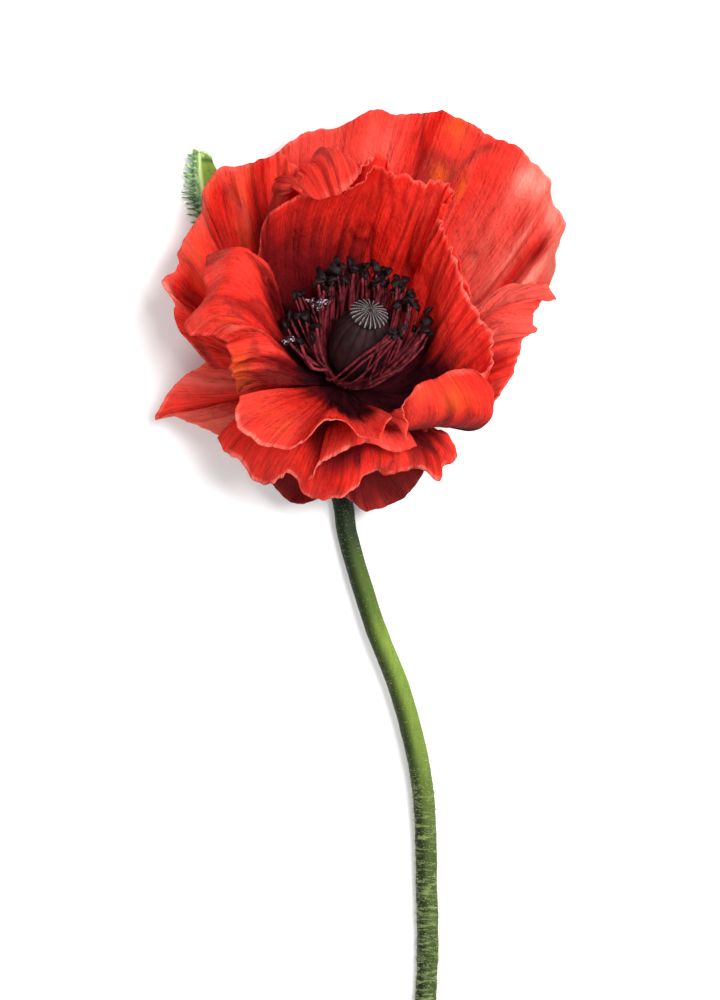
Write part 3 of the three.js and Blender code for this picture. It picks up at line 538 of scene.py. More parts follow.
def petal_values(name, across, out, v, crease, ridge):
    """The masks that colour a petal, each from 0 to 1: bands up the ribs whose edges run unevenly, bell
    curves round the spots listed for each petal, and the creases and folds. Most are painted light: shade
    is partly the petal's own maroon and partly painted shade in the bowl; dark spots, creases and fold
    grooves are painted shade; pale, sheen, the rim band and fold ridges are painted highlights; and the
    orange glow stands for light coming through. The blotch is the petal's own."""
    rng = np.random.default_rng(sum(map(ord, name)) + 7)
    look = LOOKS[name]
    u = across / across.max()
    uneven = 1 + 0.16 * patches(rng, across, out, 2.2, 60) + 0.12 * patches(rng, across, out, 7, 60)
    blotch, shade, pale = (through(look[key], u[:, 0]) for key in ("blotch", "shade", "pale"))
    streak = 0.5 + 0.3 * patches(rng, across, out, 4, 40) + 0.35 * patches(rng, across, out, 14, 30)
    bent = u + 0.012 * patches(rng, across * 0, out, 9, 12)
    # Spots listed for each petal: glow spots are an orange painted glow where light comes through, light
    # spots painted highlights, dark spots painted shade in the dark of folds.
    painted_glow, light, dark = (sum(power * np.exp(-((bent - at) / wide) ** 2 - ((v - way) / tall) ** 2)
                             for at, way, wide, tall, power in look.get(key, ((0, 0, 1, 1, 0),)))
                         for key in ("glow", "light", "dark"))
    mottle = np.clip(0.55 + 0.9 * patches(rng, across, out, 4.5, 6), 0, 1)
    # A painted highlight band along the rim, patchy along it.
    rim_highlight = look.get("rim_highlight", 1.0) * smooth(out, out.max() - LIP, out.max() - 0.4 * LIP)
    rim_highlight = rim_highlight * np.clip(0.35 + 0.5 * patches(rng, across, out * 0, 11, 9)
                        + 0.35 * patches(rng, across, out, 1.7, 9), 0, 1)
    # The maroon foot: partly the petal's own dark base, partly painted shade deep in the bowl; the dark spots
    # add painted shade in folds.
    foot = 1 - smooth(v * uneven, shade * 0.62, shade * 1.08)
    return {
        "blotch": 1 - smooth(v * uneven, blotch * 0.78, blotch * 1.12),
        "shade": np.clip(0.85 * foot + dark * (0.6 + 0.6 * streak), 0, 0.9),
        # Painted salmon sheen towards the rim, with painted highlights on fold ridges and at the light spots;
        # the dark spots take it away.
        "pale": np.clip(pale * (0.25 + streak) * smooth(v, 0.3, 0.75) + 0.2 * np.maximum(ridge, 0)
                        + light * (0.4 + streak) - 2 * dark, 0, 1),
        "rim_highlight": np.clip(rim_highlight, 0, 1),
        # A paler painted highlight where the light spots are strongest.
        "sheen": np.clip(light * (0.5 + streak) - 0.45, 0, 0.8),
        # Orange painted glow where light comes through, in patches.
        "painted_glow": np.clip(painted_glow * mottle * (0.5 + streak), 0, 0.9),
        # Painted shade in the creases and in the groove beside each fold.
        "crease": np.clip(crease * 0.8 + 0.5 * np.maximum(-ridge, 0), 0, 0.45),
    }


class POPPY_OT_petals(bpy.types.Operator):
    """Adds the eleven crumpled petals, each a thin blade in place of its solid"""
    bl_idname = "poppy.petals"
    bl_label = "Petals"

    def execute(self, context):
        shape, colours = context.scene.poppy.shape, context.scene.poppy.colours
        material = petal_material(colours)
        for name, petal in PETALS.items():
            points, *places = petal_surface(name, petal, shape)
            across, out = places[:2]
            centimetres = np.stack([across / 10, out / 10], -1)
            piece = put_mesh(name + "_skin", points, grid_quads(*points.shape[:2]), material, centimetres,
                             petal_values(name, *places), shape.petal_thickness)
            hold(piece, "petal", name)
        return {"FINISHED"}


# ---- tubes ----------------------------------------------------------------------------------------
def tube_along(lines, radii, sides, flat=1.0):
    """Tubes along many lines at once. lines: (tubes, steps, 3), radii: (tubes, steps). Each ring stands
    across its line, with the lines' own sideways direction and the bloom's axis as its two directions.
    Returns points (tubes, steps, sides, 3)."""
    tangent = unit(np.gradient(lines, axis=1))
    first = unit(np.cross(tangent, np.broadcast_to(AXIS + 0.01, tangent.shape)))
    second = np.cross(tangent, first)
    angle = np.linspace(0, 2 * np.pi, sides, endpoint=False)
    ring = first[:, :, None] * np.cos(angle)[:, None] + second[:, :, None] * np.sin(angle)[:, None] * flat
    return lines[:, :, None] + ring * radii[:, :, None, None]


def tube_faces(tubes, steps, sides):
    """Quads round each tube and a flat polygon at each end."""
    ring = np.arange(sides)
    following = (ring + 1) % sides
    t = np.arange(tubes)[:, None, None] * steps * sides
    s = np.arange(steps - 1)[None, :, None] * sides
    quads = np.stack([t + s + ring, t + s + following, t + s + sides + following, t + s + sides + ring], -1)
    starts = (np.arange(tubes) * steps * sides)[:, None] + ring[::-1]
    ends = (np.arange(tubes) * steps * sides + (steps - 1) * sides)[:, None] + ring
    return quads.reshape(-1, 4).tolist() + starts.tolist() + ends.tolist()


def bristles(name, root, out, along, length, girth, material):
    """Bristles: each a slim pyramid on three corners round its root, its tip out along the surface's
    normal and leant along the piece. Those whose root or tip would touch the table are left out."""
    tip = root + (out * 0.85 + along) * length
    keep = (tip[:, 2] > 0.2) & (root[:, 2] > 0.6)
    root, out, tip, girth = root[keep], out[keep], tip[keep], (girth + 0 * length)[keep]
    across = unit(np.cross(out, tip - root + 0.01)) * girth
    lift = unit(np.cross(out, across)) * girth
    base = root - out * 0.15
    hairs = np.stack([base + across, base - across * 0.5 + lift, base - across * 0.5 - lift, tip], 1)
    n = np.arange(len(root))[:, None] * 4
    faces = np.vstack([n + [0, 1, 3], n + [1, 2, 3], n + [2, 0, 3], n + [2, 1, 0]])
    return put_mesh(name, hairs, faces, material)


# ---- stamens --------------------------------------------------------------------------------------
WHORLS = np.array([[17.5, 36.0], [20, 34], [22, 31]])  # radius and height of the anthers
FAN_MIDDLE, FAN_SHARE, FAN_DROP = -25, 0.47, (17, 9)
FILAMENT_LINE = np.array([[4.6, 4.6], [7, 7], [10.2, 11.4]])
FILAMENT_LAST, TURN_RISE = (0.5, 0.6), 0.8
FILAMENT_STEPS, FILAMENT_SIDES, FILAMENT_RADIUS, FLAT = 12, 5, (0.85, 0.6), 0.5
RING, RING_SIDES = np.array([[3.3, 3.7], [5.9, 3.7], [5.6, 5.2], [3.3, 5.2]]), 48
ANTHER = (2.1, 1.35, 0.95)  # mm: half its length, width and depth
ANTHER_ROWS, ANTHER_COLUMNS = 11, 14
# Round these places, seen from above, a few anthers carry pale pinkish patches as painted glints.
GLINT_AT, GLINT_WITHIN = [(-19, 15.5), (-8.7, 26.3)], 4.0  # mm from the receptacle, seen from above


def stamen_lines(count, steps):
    """Filament middles: each runs from the ring round the stalk, clear of the capsule, to its anther at
    one of three whorls' radius and height with chance added. The anthers' arc is a share of the ring's,
    turned away from the front, and drops towards its ends. Returns (count, steps, 3) points."""
    rng = np.random.default_rng(12)
    root = 360 * (np.arange(count) + 0.5 * rng.random(count)) / count - 180
    whorl = WHORLS[np.arange(count) % 3]
    radius = whorl[:, 0] + rng.uniform(-2, 4, count)
    height = whorl[:, 1] + rng.uniform(-3, 4, count) - np.where(root < 0, *FAN_DROP) * (root / 180) ** 2
    turn = FAN_MIDDLE + FAN_SHARE * root + rng.uniform(-14, 14, count) - root
    turn = turn + 6 * np.sin(np.radians(5 * root))  # they bunch
    # Most turn aside near the stalk; a few of those at the front climb the capsule to its right shoulder.
    climbs = (np.arange(count) % 6 == 4) & (np.abs(root) > 115)
    radius = np.where(climbs, rng.uniform(10.5, 13, count), radius)
    height = np.where(climbs, rng.uniform(33, 41, count), height)
    turn = np.where(climbs, rng.uniform(95, 150, count) - root % 360, turn)
    knots = np.empty((count, 5, 2))
    knots[:, :3] = FILAMENT_LINE
    knots[:, 1:3, 0] += rng.uniform(0, 1.6, (count, 1))
    knots[:, 2, 1] += rng.uniform(-0.5, 2.5, count)
    knots[:, 3, 0] = FILAMENT_LINE[2, 0] + (radius - FILAMENT_LINE[2, 0]) * FILAMENT_LAST[0]
    knots[:, 3, 1] = height * (FILAMENT_LAST[1] + rng.uniform(0, 0.14, count))
    knots[:, 4, 0], knots[:, 4, 1] = radius, height
    t = np.linspace(0, 1, steps)
    curve = through(knots.transpose(1, 0, 2).reshape(5, -1), t).reshape(steps, count, 2).transpose(1, 0, 2)
    sway = 3 * np.sin(t * 7 + 6 * rng.random((count, 1))) * t
    share = t ** np.where(climbs[:, None], 1.7, TURN_RISE * rng.uniform(0.8, 1.3, (count, 1)))
    return on_bloom(root[:, None] + turn[:, None] * share + sway, curve[..., 0], curve[..., 1])


def anther_beans(end):
    """An anther of two lobes at each filament's end: an ellipsoid pinched along its middle and bent, with
    chance lumps round it as sine waves. Returns (anthers, rows, columns, 3) points."""
    rng = np.random.default_rng(5)
    count = len(end)
    away = unit(end - (BLOOM + AXIS * ((end - BLOOM) @ AXIS)[:, None]))
    facing = unit(away + AXIS * rng.uniform(-1.2, 1.2, (count, 1)) + rng.normal(0, 0.6, (count, 3)))
    side = unit(np.cross(facing, AXIS + rng.normal(0, 0.5, (count, 3))))
    third = np.cross(facing, side)
    a = np.linspace(0.02, np.pi - 0.02, ANTHER_ROWS)[:, None]
    b = np.linspace(0, 2 * np.pi, ANTHER_COLUMNS, endpoint=False)[None]
    rows_shift, columns_shift, both_shift = (rng.uniform(0, 6, (count, 1, 1)) for _ in range(3))
    lumps = 1 + 0.16 * np.sin(3 * a + rows_shift) * np.sin(2 * b + columns_shift)
    lumps = (lumps + 0.1 * np.sin(5 * a + 3 * b + both_shift)) * rng.uniform(0.8, 1.2, (count, 1, 1))
    pinch = 1 - 0.3 * np.abs(np.sin(b)) ** 6
    length = np.cos(a) * ANTHER[0] * lumps
    breadth = np.sin(a) * np.cos(b) * ANTHER[1] * lumps
    depth = np.sin(a) * np.sin(b) * pinch * ANTHER[2] * lumps + 0.3 * length ** 2 / ANTHER[0]
    return (facing[:, None, None] * length[..., None] + side[:, None, None] * breadth[..., None]
            + third[:, None, None] * depth[..., None] + end[:, None, None])


class POPPY_OT_stamens(bpy.types.Operator):
    """Adds the filaments, flattened maroon straps, and their near-black anthers of two lobes"""
    bl_idname = "poppy.stamens"
    bl_label = "Stamens"

    def execute(self, context):
        shape, colours = context.scene.poppy.shape, context.scene.poppy.colours
        count = shape.stamens
        lines = stamen_lines(count, FILAMENT_STEPS)
        # Filament: soft plant thread, satin maroon, darker in patches.
        thread = plain_material("poppy_filament", linear("#2E0A10"), colours.filament, scale=420,
                                roughness=0.6, depth=0.1, specular=0.14)
        radii = np.linspace(*FILAMENT_RADIUS, FILAMENT_STEPS)[None]
        radii = radii * np.random.default_rng(4).uniform(0.6, 1.2, (count, 1))
        filaments = put_mesh("filaments", tube_along(lines, radii, FILAMENT_SIDES, FLAT),
                             tube_faces(count, FILAMENT_STEPS, FILAMENT_SIDES), thread)
        ring = on_bloom(np.linspace(0, 360, RING_SIDES, endpoint=False)[:, None], RING[:, 0], RING[:, 1])
        k = np.arange(RING_SIDES) * len(RING)
        inner = np.stack([k + 3, k, np.roll(k, -1), np.roll(k, -1) + 3], -1)
        collar = put_mesh("stamen_collar", ring, np.vstack([grid_quads(RING_SIDES, len(RING), True), inner]),
                          thread)
        # Anther: a burst pollen sac, lumpy and near-black. A few at the left carry painted glints: pale
        # pinkish patches that stand for highlights.
        pollen = plain_material("poppy_anther", colours.anther, linear("#1D0B0E"), scale=1500,
                                roughness=0.48, depth=0.35, specular=0.14,
                                over=("painted_glint", linear("#BFA0AC"), 1300))
        end = lines[:, -1]
        # Anthers near those places get painted glints.
        aside = [np.linalg.norm(end[:, :2] - BLOOM[:2] - spot, axis=1) for spot in GLINT_AT]
        painted_glint = (np.minimum(*aside) < GLINT_WITHIN).astype(float)
        anthers = put_mesh("anthers", anther_beans(end), tube_faces(count, ANTHER_ROWS, ANTHER_COLUMNS),
                           pollen, None, {"painted_glint": np.repeat(painted_glint, ANTHER_ROWS * ANTHER_COLUMNS)})
        for piece in (filaments, collar, anthers):
            hold(piece, "stamens", "stamens")
        return {"FINISHED"}


# ---- pistil ---------------------------------------------------------------------------------------
PISTIL = [[0.1, 3.7], [2.9, 3.75], [2.9, 6.4], [5.4, 8.6], [8.2, 12.4], [9.6, 17], [9.8, 22], [9, 27],
          [7, 31], [5.3, 33.2], [5.9, 33.7], [6.3, 34.3], [5.9, 35.1], [3.8, 36.1], [2, 36.6], [0.1, 36.7]]
PISTIL_ROWS, COLUMNS_A_RAY = 150, 10
PISTIL_LOBES, LOBE_DEPTH = 12, 0.55  # mm


def capsule_material(colours):
    """Poppy capsule: dark green-brown skin, and on its disc raised rays of pale grey velvet that catch
    pollen."""
    material, tree = new_material("poppy_capsule_and_velvet_rays")
    place = add(tree, "TexCoord", {}, "Object")
    cloud = add(tree, "TexNoise", {"Vector": place, "Scale": 260, "Detail": 5, "Roughness": 0.6})
    skin = add(tree, "ValToRGB", {"Fac": cloud}, stops=[(0.35, colours.capsule), (0.7, linear("#2A1014"))])
    grain = add(tree, "TexNoise", {"Vector": place, "Scale": 2600, "Detail": 4, "Roughness": 0.7})
    pale = add(tree, "ValToRGB", {"Fac": grain}, stops=[(0.38, linear("#2E292A")), (0.6, linear("#A8A3A0"))])
    dress(tree, coats(tree, skin, ("velvet", pale)), grain, strength=0.5, depth=0.15, roughness=0.55,
          specular=0.16)
    return material


class POPPY_OT_pistil(bpy.types.Operator):
    """Adds the ribbed capsule under its velvety disc of rays"""
    bl_idname = "poppy.pistil"
    bl_label = "Pistil"

    def execute(self, context):
        colours, rays = context.scene.poppy.colours, context.scene.poppy.shape.rays
        columns = rays * COLUMNS_A_RAY
        radius, height = through(PISTIL, np.linspace(0, 1, PISTIL_ROWS)).T
        angle = np.linspace(0, 360, columns, endpoint=False)[:, None]
        # A turned profile, with furrows between the lobes, notches between the rays at the disc's edge
        # and a ridge along each ray. ray and lobe are 1 on one of them and 0 between two.
        ray = np.abs(np.cos(np.radians(angle) * rays / 2))
        lobe = np.abs(np.cos(np.radians(angle) * (PISTIL_LOBES / 2)))
        on_disc = smooth(height, 33.4, 34.0)[None]
        body = smooth(height, 7, 12)[None] * (1 - on_disc)
        furrow = -LOBE_DEPTH * body * (1 - lobe) ** 2
        notch = on_disc * smooth(radius, 4.2, 6.2)[None] * (ray - 0.6) * 0.7
        ridge = on_disc * smooth(radius, 0.6, 2.5)[None] * (ray ** 4) * 0.45
        points = on_bloom(angle, radius[None] + furrow + notch, height[None] + ridge)
        velvet = on_disc * smooth(ray, 0.88, 1.0) * smooth(radius, 0.3, 1.0)[None] * 0.7
        piece = put_mesh("capsule", points, turned_faces(columns, PISTIL_ROWS), capsule_material(colours),
                         None, {"velvet": velvet})
        hold(piece, "pistil", "pistil")
        return {"FINISHED"}


# ---- bract ----------------------------------------------------------------------------------------
BRACT_LINE = [[-8, -8, 18], [-16, 1, 10], [-27, 16, 3], [-36, 33, 0], [-43.5, 50, 0], [-47, 62, 0.4],
              [-48.5, 70, 2], [-48.8, 78, 5]]
BRACT_HALF_WIDTH = [1.3, 1.6, 2.2, 4, 6.4, 6.8, 6.2, 3.6]
BRACT_TEETH, BRACT_NOTCH = 36, 0.7
BRACT_COLUMNS, BRACT_ROWS = 560, 27
BRACT_THICKNESS, BRACT_FLOOR = 0.45, 0.35  # mm: the blade's, and how low its middle surface may lie
BRACT_HAIRS, TOOTHED_FROM, TUFT_FROM = 3400, 0.42, 0.955  # how many, and where along the blade


def leaf_material(colours):
    """Poppy bract: fresh leaf tissue, satin, yellow-green on its smooth half, grey teal on its hairy
    toothed half, with a pale midrib, and dark teal painted shade in the gaps between its teeth and along
    the fold at its tip."""
    material, tree = new_material("poppy_leaf")
    place = add(tree, "TexCoord", {}, "Object")
    cloud = add(tree, "TexNoise", {"Vector": place, "Scale": 500, "Detail": 5, "Roughness": 0.65})
    bare, hairy = (add(tree, "ValToRGB", {"Fac": cloud}, stops=stops) for stops in (
        [(0.35, linear("#54781A")), (0.65, colours.leaf)],
        [(0.4, linear("#3E6E4A")), (0.6, linear("#9CC488"))]))
    # Dark teal painted shade in the gaps between the teeth and along the fold at the tip.
    colour = coats(tree, bare, ("toothed", hairy), ("spine", linear("#B9D08A")),
                   ("shade_in_hollows", linear("#12302A")))
    dress(tree, colour, cloud, strength=0.7, depth=0.3, roughness=0.5, specular=0.4)
    return material


class POPPY_OT_bract(bpy.types.Operator):
    """Adds the toothed green bract that looks out behind the left petal"""
    bl_idname = "poppy.bract"
    bl_label = "Bract"

    def execute(self, context):
        columns, rows = BRACT_COLUMNS, BRACT_ROWS
        t = np.linspace(0, 1, columns)
        line = through(BRACT_LINE, t) + TABLE_UNDER_BLOOM
        forward = unit(np.gradient(line, axis=0))
        side = unit(np.cross(forward, UP))
        crown = np.cross(side, forward)
        w = np.linspace(-1, 1, rows)[None]
        half = through(BRACT_HALF_WIDTH, t)
        t = t[:, None]
        toothed = smooth(t, 0.38, 0.42)
        # The left edge is a row of slender teeth that point forward and droop by turns: gap is 0 at a
        # tooth's tip and 1 between two. The halves are cupped, and a midrib stands up between them.
        rng = np.random.default_rng(6)
        clump = patches(rng, t * 100 + 0 * w, 6 * w + 0 * t, 4.3, 20)
        turn = (t * BRACT_TEETH + 0.3 * clump) % 1.0
        gap = np.abs(turn * 2 - 1) ** 0.55 * toothed * (w < 0)
        rounding = np.sqrt(np.clip((1 - t) / 0.04, 0.03, 1))
        uneven = 1 + np.where(w < 0, 0.2, 0.05) * clump
        width = half * (1 - BRACT_NOTCH * gap * np.abs(w) ** 1.5) * uneven * rounding
        sweep = 1.8 * (toothed * (w < 0) - gap) * np.abs(w) ** 3
        cup = 0.4 * np.maximum(np.abs(w) - 0.45, 0) * width
        cup = cup + 0.5 * (toothed - gap) * np.minimum(w, 0) ** 2 * np.sin(t * 400)
        veins = 0.35 * np.exp(-(w / 0.09) ** 2) - 0.5 * gap * smooth(-w, 0.05, 0.4)
        points = (line[:, None] + side[:, None] * (w * width)[..., None] + forward[:, None] * sweep[..., None]
                  + crown[:, None] * (cup + veins)[..., None])
        points[..., 2] = np.maximum(points[..., 2], BRACT_FLOOR)
        # Painted shade along the fold at the tip; with the gaps between the teeth it makes the dark teal
        # shade.
        tip_fold_shade = 0.7 * smooth(w, 0.1, 0.3) * np.exp(-((t - 0.945) / 0.01) ** 2)
        values = {"toothed": smooth(-w, 0.0, 0.2) * toothed,
                  "spine": np.exp(-((w - 0.02) / 0.09) ** 2) + 0 * toothed,
                  "shade_in_hollows": np.clip(gap ** 2 * smooth(-w, 0.1, 0.45) * 0.8 + tip_fold_shade, 0, 1)}
        blade = put_mesh("bract_blade", points, grid_quads(columns, rows),
                         leaf_material(context.scene.poppy.colours), None, values, BRACT_THICKNESS * MM)
        # Fuzz along the toothed half: fine pale hairs that lean out past the teeth, a third of them in
        # the tuft at the tip.
        count = BRACT_HAIRS
        row = rng.integers(int(columns * TOOTHED_FROM), columns - 2, count)
        column = rng.integers(0, rows // 2, count)
        tuft = np.arange(count) % 3 == 0
        row[tuft] = rng.integers(int(columns * TUFT_FROM), columns - 1, tuft.sum())
        column[tuft] = rng.integers(0, rows, tuft.sum())
        sideways = side[row] * np.sign(column - rows / 2)[:, None]
        out = unit(sideways * rng.uniform(0.2, 1.4, (count, 1))
                   + crown[row] * rng.uniform(0.2, 1, (count, 1)))
        down = plain_material("poppy_bract_hair", linear("#7FA860"), linear("#D8EAB0"), scale=900,
                              roughness=0.5, depth=0.02)
        lean = forward[row] * (rng.uniform(-0.3, 0.8, (count, 1)) + 0.7 * tuft[:, None])
        fuzz = bristles("bract_hairs", points[row, column], out, lean, rng.uniform(0.5, 1.3, (count, 1)),
                        0.1, down)
        for piece in (blade, fuzz):
            hold(piece, "bract", "bract")
        return {"FINISHED"}


# ---- stem -----------------------------------------------------------------------------------------
NECK = (-8, -14)
STEM_LINE = [[-5.6, -16, 10.6], [-4.4, -27, 5.6], [-0.7, -39.3, 4.2], [1.2, -51.3, 4.6], [9.3, -78.3, 6.2],
             [18.5, -102.3, 6.4], [24.8, -127, 5.4], [26.7, -143.3, 4.6], [27.3, -165, 3.8],
             [27.7, -186.7, 3.2], [27, -205, 3.1], [26, -219, 3.1]]
# Radius and roughness in mm at ways down the stem in mm.
STEM_RADIUS = ([0, 60, 120, 200, 290], [3.2, 3.4, 3.6, 3.5, 3.5])
STEM_ROUGH = ([0, 110, 170, 290], [0.5, 0.8, 1.8, 2.2])
STEM_STEPS, STEM_SIDES = 420, 40
CORE = [[0.05, -14], [3.2, -13], [3.5, -10.5], [4.6, -8], [5.2, -6], [4.6, -4.9], [3.3, -4.2], [3.2, -3.9],
        [3.2, 3.2], [3.1, 3.4], [0.05, 3.4]]
CORE_ROWS, CORE_COLUMNS = 80, 64
BARE_ROWS = 110  # rings under the petals that carry no bristles


def stem_line(steps):
    """The stem's middle, from inside the bloom's neck along the table to the cut."""
    neck = on_bloom([0, 0], [0, 0], NECK)
    return through(np.vstack([neck, np.array(STEM_LINE) + TABLE_UNDER_BLOOM]), np.linspace(0, 1, steps))


def stem_tube(line, sides):
    """Rings across the stem's line. The radius swells towards the cut, and small bumps and faint ridges
    lie on it; below the table's plane the stem is cut flat, as the solid is."""
    tangent = unit(np.gradient(line, axis=0))
    first = unit(np.cross(tangent, UP))
    second = np.cross(tangent, first)
    angle = np.linspace(0, 2 * np.pi, sides, endpoint=False)
    normal = first[:, None] * np.cos(angle)[:, None] + second[:, None] * np.sin(angle)[:, None]
    way = np.concatenate([[0], np.cumsum(np.linalg.norm(np.diff(line, axis=0), axis=1))])[:, None]
    rng = np.random.default_rng(3)
    arc = angle[None] * 3.5 + 0 * way
    rough = (0.1 * patches(rng, arc, way + 0 * arc, 2.1, 4.5)
             + 0.07 * patches(rng, arc, way + 0.6 * arc, 1.2, 1.4))
    radius = (np.interp(way, *STEM_RADIUS) + rough * np.interp(way, *STEM_ROUGH)
              + 0.05 * np.cos(angle * 9)[None])
    points = line[:, None] + normal * radius[..., None]
    points[..., 2] = np.maximum(points[..., 2], 0.0)
    return points, normal, way, tangent


def stem_material(colours):
    """Poppy stem: green skin, satin, near-black under the bloom as the bloom's painted shadow, yellow-green
    where painted light falls, darker along its left side as painted shade, dull and grainy below, where
    pale scars 5 mm long and 1 mm high lie across it."""
    material, tree = new_material("poppy_stem_skin")
    place = add(tree, "TexCoord", {}, "Object")
    grain = add(tree, "TexNoise", {"Vector": place, "Scale": 1300, "Detail": 5, "Roughness": 0.7})
    drawn_down, drawn_across = (
        add(tree, "TexNoise", {"Scale": 1, "Detail": detail, "Roughness": 0.6, "Vector": add(
            tree, "Mapping", {"Vector": place, "Scale": scale})})
        for scale, detail in (((900, 90, 900), 4), ((190, 850, 190), 3)))
    way = add(tree, "Attribute", {}, "Fac", attribute_name="way")
    # Down the stem: near-black as the bloom's painted shadow under it, yellow-green as painted light, then
    # duller green to the cut.
    tone_shadow_and_light = add(tree, "ValToRGB", {"Fac": way}, stops=[
        (0.17, linear("#11170C")), (0.23, linear("#1B2411")), (0.27, linear("#3C4C1C")),
        (0.35, linear("#4C601E")), (0.4, colours.stem), (0.58, linear("#5C7028")),
        (0.7, linear("#3A491B")), (1.0, linear("#2C3A17"))])
    streaks = add(tree, "ValToRGB", {"Fac": drawn_down}, stops=[(0.35, 0.3), (0.65, 0)])
    strokes = add(tree, "ValToRGB", {"Fac": drawn_across}, stops=[(0.5, 0), (0.66, 1)])
    grainy = add(tree, "Attribute", {}, "Fac", attribute_name="grainy")
    scars = add(tree, "Math", {0: strokes, 1: grainy}, operation="MULTIPLY")
    # Painted shade along the stem's left side, away from the light.
    colour = coats(tree, tone_shadow_and_light, (streaks, linear("#22340E")), ("shaded_flank", linear("#10190C")),
                   (scars, linear("#8A9660")))
    dress(tree, colour, grain, strength=0.5, depth=0.2, roughness=0.6, specular=0.12)
    return material


class POPPY_OT_stem(bpy.types.Operator):
    """Adds the stem with its swollen end under the petals, and the short pale hairs on it"""
    bl_idname = "poppy.stem"
    bl_label = "Stem"

    def execute(self, context):
        shape, steps, sides = context.scene.poppy.shape, STEM_STEPS, STEM_SIDES
        points, normal, way, tangent = stem_tube(stem_line(steps), sides)
        material = stem_material(context.scene.poppy.colours)
        share = way / way.max() + 0 * points[..., 0]
        # The stem's left side gets a value that lays painted shade on it, away from the light.
        tube = put_mesh("stem_skin", points, tube_faces(1, steps, sides), material, None,
                        {"way": share, "grainy": smooth(share, 0.55, 0.7) * 0.55,
                         "shaded_flank": 0.88 * smooth(-normal[..., 0], -0.35, 0.7)})
        profile = through(CORE, np.linspace(0, 1, CORE_ROWS))
        angle = np.linspace(0, 360, CORE_COLUMNS, endpoint=False)[:, None]
        core = put_mesh("receptacle", on_bloom(angle, profile[:, 0], profile[:, 1]),
                        turned_faces(CORE_COLUMNS, CORE_ROWS), material)
        # Hair: short pale bristles that lie across the stem, thickest on its lower half.
        rng = np.random.default_rng(8)
        count = shape.hairs
        row = (steps * rng.random(count) ** 0.6).astype(int) % steps
        column = rng.integers(0, sides, count)
        along, out = tangent[row], normal[row, column]
        lean = np.cross(along, out) * rng.normal(0, 1.1, (count, 1)) + along * rng.normal(0, 0.4, (count, 1))
        keep = row > BARE_ROWS
        bristle = plain_material("poppy_stem_bristle", linear("#7A8C4C"), linear("#BCC890"), scale=900,
                                 roughness=0.5, depth=0.02)
        low = smooth(row[keep] / steps, 0.5, 0.7)[:, None]
        length = rng.uniform(0.4, 1.0, (keep.sum(), 1)) * (0.8 + 0.6 * low)
        hair = bristles("stem_hairs", points[row, column][keep], out[keep], lean[keep], length,
                        0.06 + 0.05 * low, bristle)
        for piece in (tube, core, hair):
            hold(piece, "stem", "stem")
        return {"FINISHED"}


# ---- stage ----------------------------------------------------------------------------------------
VIEW_CENTRE = tuple(BLOOM + [5.0, -38.33, -5.0])  # mm: what the middle of the picture looks at
VIEW_HEIGHT = 333.3  # mm that the picture's height covers there
CAMERA_ABOVE, FILM, CLIP_END = 5000, 36, 20  # mm, mm and metres
# Name, place and size in metres, power in watts. The window is high at the upper right, and the fill
# lights the back wall of the bowl from the lower left.
LIGHTS = (("window", (0.62, 0.42, 1.5), 0.8, 41.0), ("side", (1.3, 0.1, 0.5), 0.4, 7.0),
          ("fill", (-0.45, -0.8, 1.1), 0.8, 7.0))
SKY_FILL = 0.52
TABLE_HALF = 2500  # mm
TABLE_TOP = -0.05  # mm: just under the pieces, so that no face of theirs lies in its plane


class POPPY_OT_stage(bpy.types.Operator):
    """Adds the pale table, the soft lights and the camera that looks straight down"""
    bl_idname = "poppy.stage"
    bl_label = "Stage"

    def execute(self, context):
        scene = context.scene
        # Paper: matt, near-white.
        table, tree = new_material("white_paper_table")
        sheen = add(tree, "BsdfPrincipled", {"Base Color": linear("#F6F6F6"), "Roughness": 0.9})
        add(tree, "OutputMaterial", {"Surface": sheen})
        corners = np.array([[x * TABLE_HALF, y * TABLE_HALF, TABLE_TOP]
                            for x, y in ((-1, -1), (1, -1), (1, 1), (-1, 1))])
        floor = put_mesh("table", corners, [[0, 1, 2, 3]], table)
        aim = Vector(VIEW_CENTRE) * MM
        for name, place, size, power in LIGHTS:
            light = bpy.data.lights.new(name, "AREA")
            light.shape, light.size, light.energy = "SQUARE", size, power
            lamp = bpy.data.objects.new(name, light)
            lamp.location = place
            lamp.rotation_euler = (aim - Vector(place)).to_track_quat("-Z", "Y").to_euler()
            scene.collection.objects.link(lamp)
        world = bpy.data.worlds.new("studio")
        scene.world = world
        world.use_nodes = True
        sky = world.node_tree.nodes["Background"]
        sky.inputs[0].default_value, sky.inputs[1].default_value = (1, 1, 1, 1), SKY_FILL
        scene.view_settings.view_transform = "Standard"
        camera = bpy.data.cameras.new("camera")
        camera.sensor_width, camera.clip_end = FILM, CLIP_END
        camera.lens = FILM * CAMERA_ABOVE / VIEW_HEIGHT
        eye = bpy.data.objects.new("camera", camera)
        eye.location = aim + Vector((0, 0, CAMERA_ABOVE * MM))
        scene.collection.objects.link(eye)
        scene.camera = eye
        return {"FINISHED"}


# ---- settings and panel ---------------------------------------------------------------------------
class PoppyShape(bpy.types.PropertyGroup):
    """Sizes and counts that a user would change"""
    petal_thickness: FloatProperty(name="Petal thickness", description="How thick each petal's blade is",
                                   default=0.25 * MM, min=0.1 * MM, max=0.6 * MM, unit="LENGTH")
    crinkle: FloatProperty(name="Crinkle", description="How deeply the petals are pleated and crumpled",
                           default=1.0, min=0, max=2, subtype="FACTOR")
    stamens: IntProperty(name="Stamens", description="How many filaments stand round the capsule",
                         default=104, min=30)
    rays: IntProperty(name="Rays", description="How many velvety rays the capsule's disc has",
                      default=22, min=8)
    hairs: IntProperty(name="Hairs", description="How many bristles the stem carries", default=3800, min=0)


def colour_property(name, description, value):
    """A colour setting whose default is an sRGB hex value."""
    return FloatVectorProperty(name=name, description=description, default=linear(value),
                               subtype="COLOR", min=0, max=1)


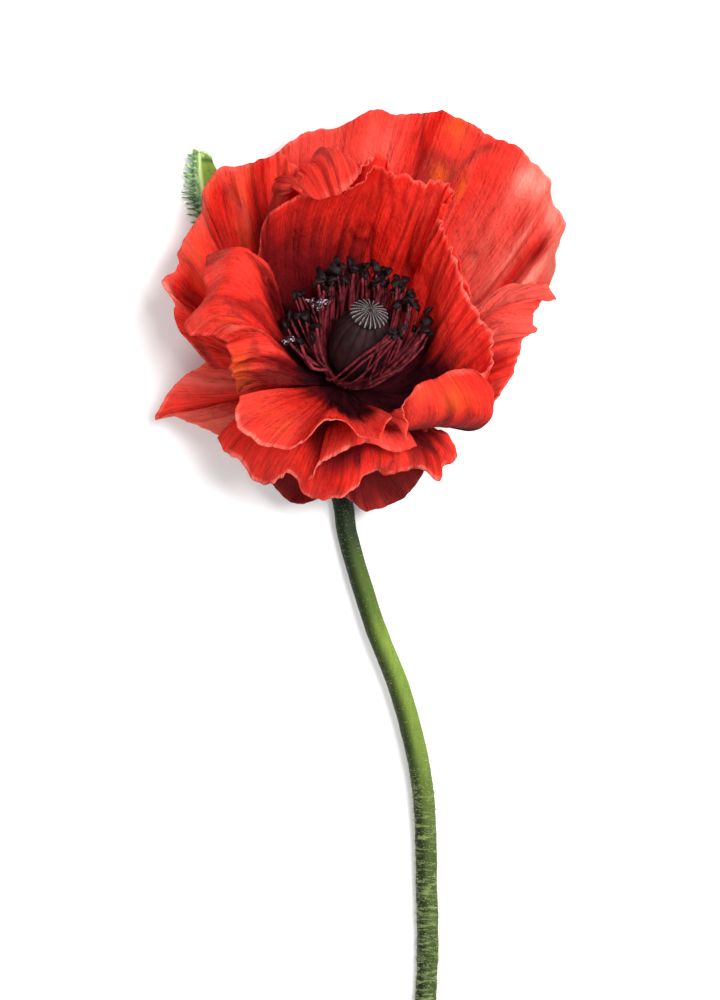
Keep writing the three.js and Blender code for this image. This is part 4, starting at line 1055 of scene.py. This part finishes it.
class PoppyColours(bpy.types.PropertyGroup):
    """Colours that a user would change"""
    petal: colour_property("Petal", "The petals' main red", "#EC261D")
    # Painted shade: this maroon is the petals' own at their feet and also lays painted shade in the bowl, in
    # creases and in fold grooves.
    petal_maroon_and_shade: colour_property("Petal shade", "The maroon of the petals' feet and creases", "#5A0A14")
    petal_light: colour_property("Petal light", "The lighter ribs", "#F83A2E")
    # Painted sheen: this salmon stands for the sheen towards the rims and for highlights.
    petal_pale: colour_property("Petal sheen", "The salmon sheen towards the rims", "#FA8474")
    # Painted glow: this orange stands for light coming through the petals.
    petal_painted_glow: colour_property("Petal glow", "The orange where light comes through", "#F2702A")
    filament: colour_property("Filament", "The stamens' threads", "#7A242E")
    anther: colour_property("Anther", "The pollen sacs", "#080406")
    capsule: colour_property("Capsule", "The seed capsule's skin", "#100608")
    leaf: colour_property("Bract", "The smooth half of the toothed bract", "#768A2A")
    stem: colour_property("Stem", "The stem where the light falls on it", "#6C8230")


class PoppySettings(bpy.types.PropertyGroup):
    """The poppy's settings"""
    shape: PointerProperty(type=PoppyShape)
    colours: PointerProperty(type=PoppyColours)


class POPPY_PT_panel(bpy.types.Panel):
    """Lists the poppy's settings and its operators"""
    bl_idname = "POPPY_PT_panel"
    bl_label = "Poppy"
    bl_space_type = "VIEW_3D"
    bl_region_type = "UI"
    bl_category = "Poppy"

    def draw(self, context):
        poppy = context.scene.poppy
        for group in (poppy.shape, poppy.colours):
            for key in group.__annotations__:
                self.layout.prop(group, key)
        for operator in OPERATORS:
            self.layout.operator(operator.bl_idname)


OPERATORS = (POPPY_OT_petals, POPPY_OT_stamens, POPPY_OT_pistil, POPPY_OT_bract, POPPY_OT_stem,
             POPPY_OT_stage)
CLASSES = (PoppyShape, PoppyColours, PoppySettings, *OPERATORS, POPPY_PT_panel)


def register():
    """Registers the classes and hangs the settings on the scene."""
    for cls in CLASSES:
        bpy.utils.register_class(cls)
    bpy.types.Scene.poppy = PointerProperty(type=PoppySettings)


def unregister():
    """Undoes register."""
    del bpy.types.Scene.poppy
    for cls in reversed(CLASSES):
        bpy.utils.unregister_class(cls)


def main():
    """Builds the pieces and the stage."""
    register()
    bpy.ops.poppy.petals()
    bpy.ops.poppy.stamens()
    bpy.ops.poppy.pistil()
    bpy.ops.poppy.bract()
    bpy.ops.poppy.stem()
    bpy.ops.poppy.stage()


if __name__ == "__main__":
    main()
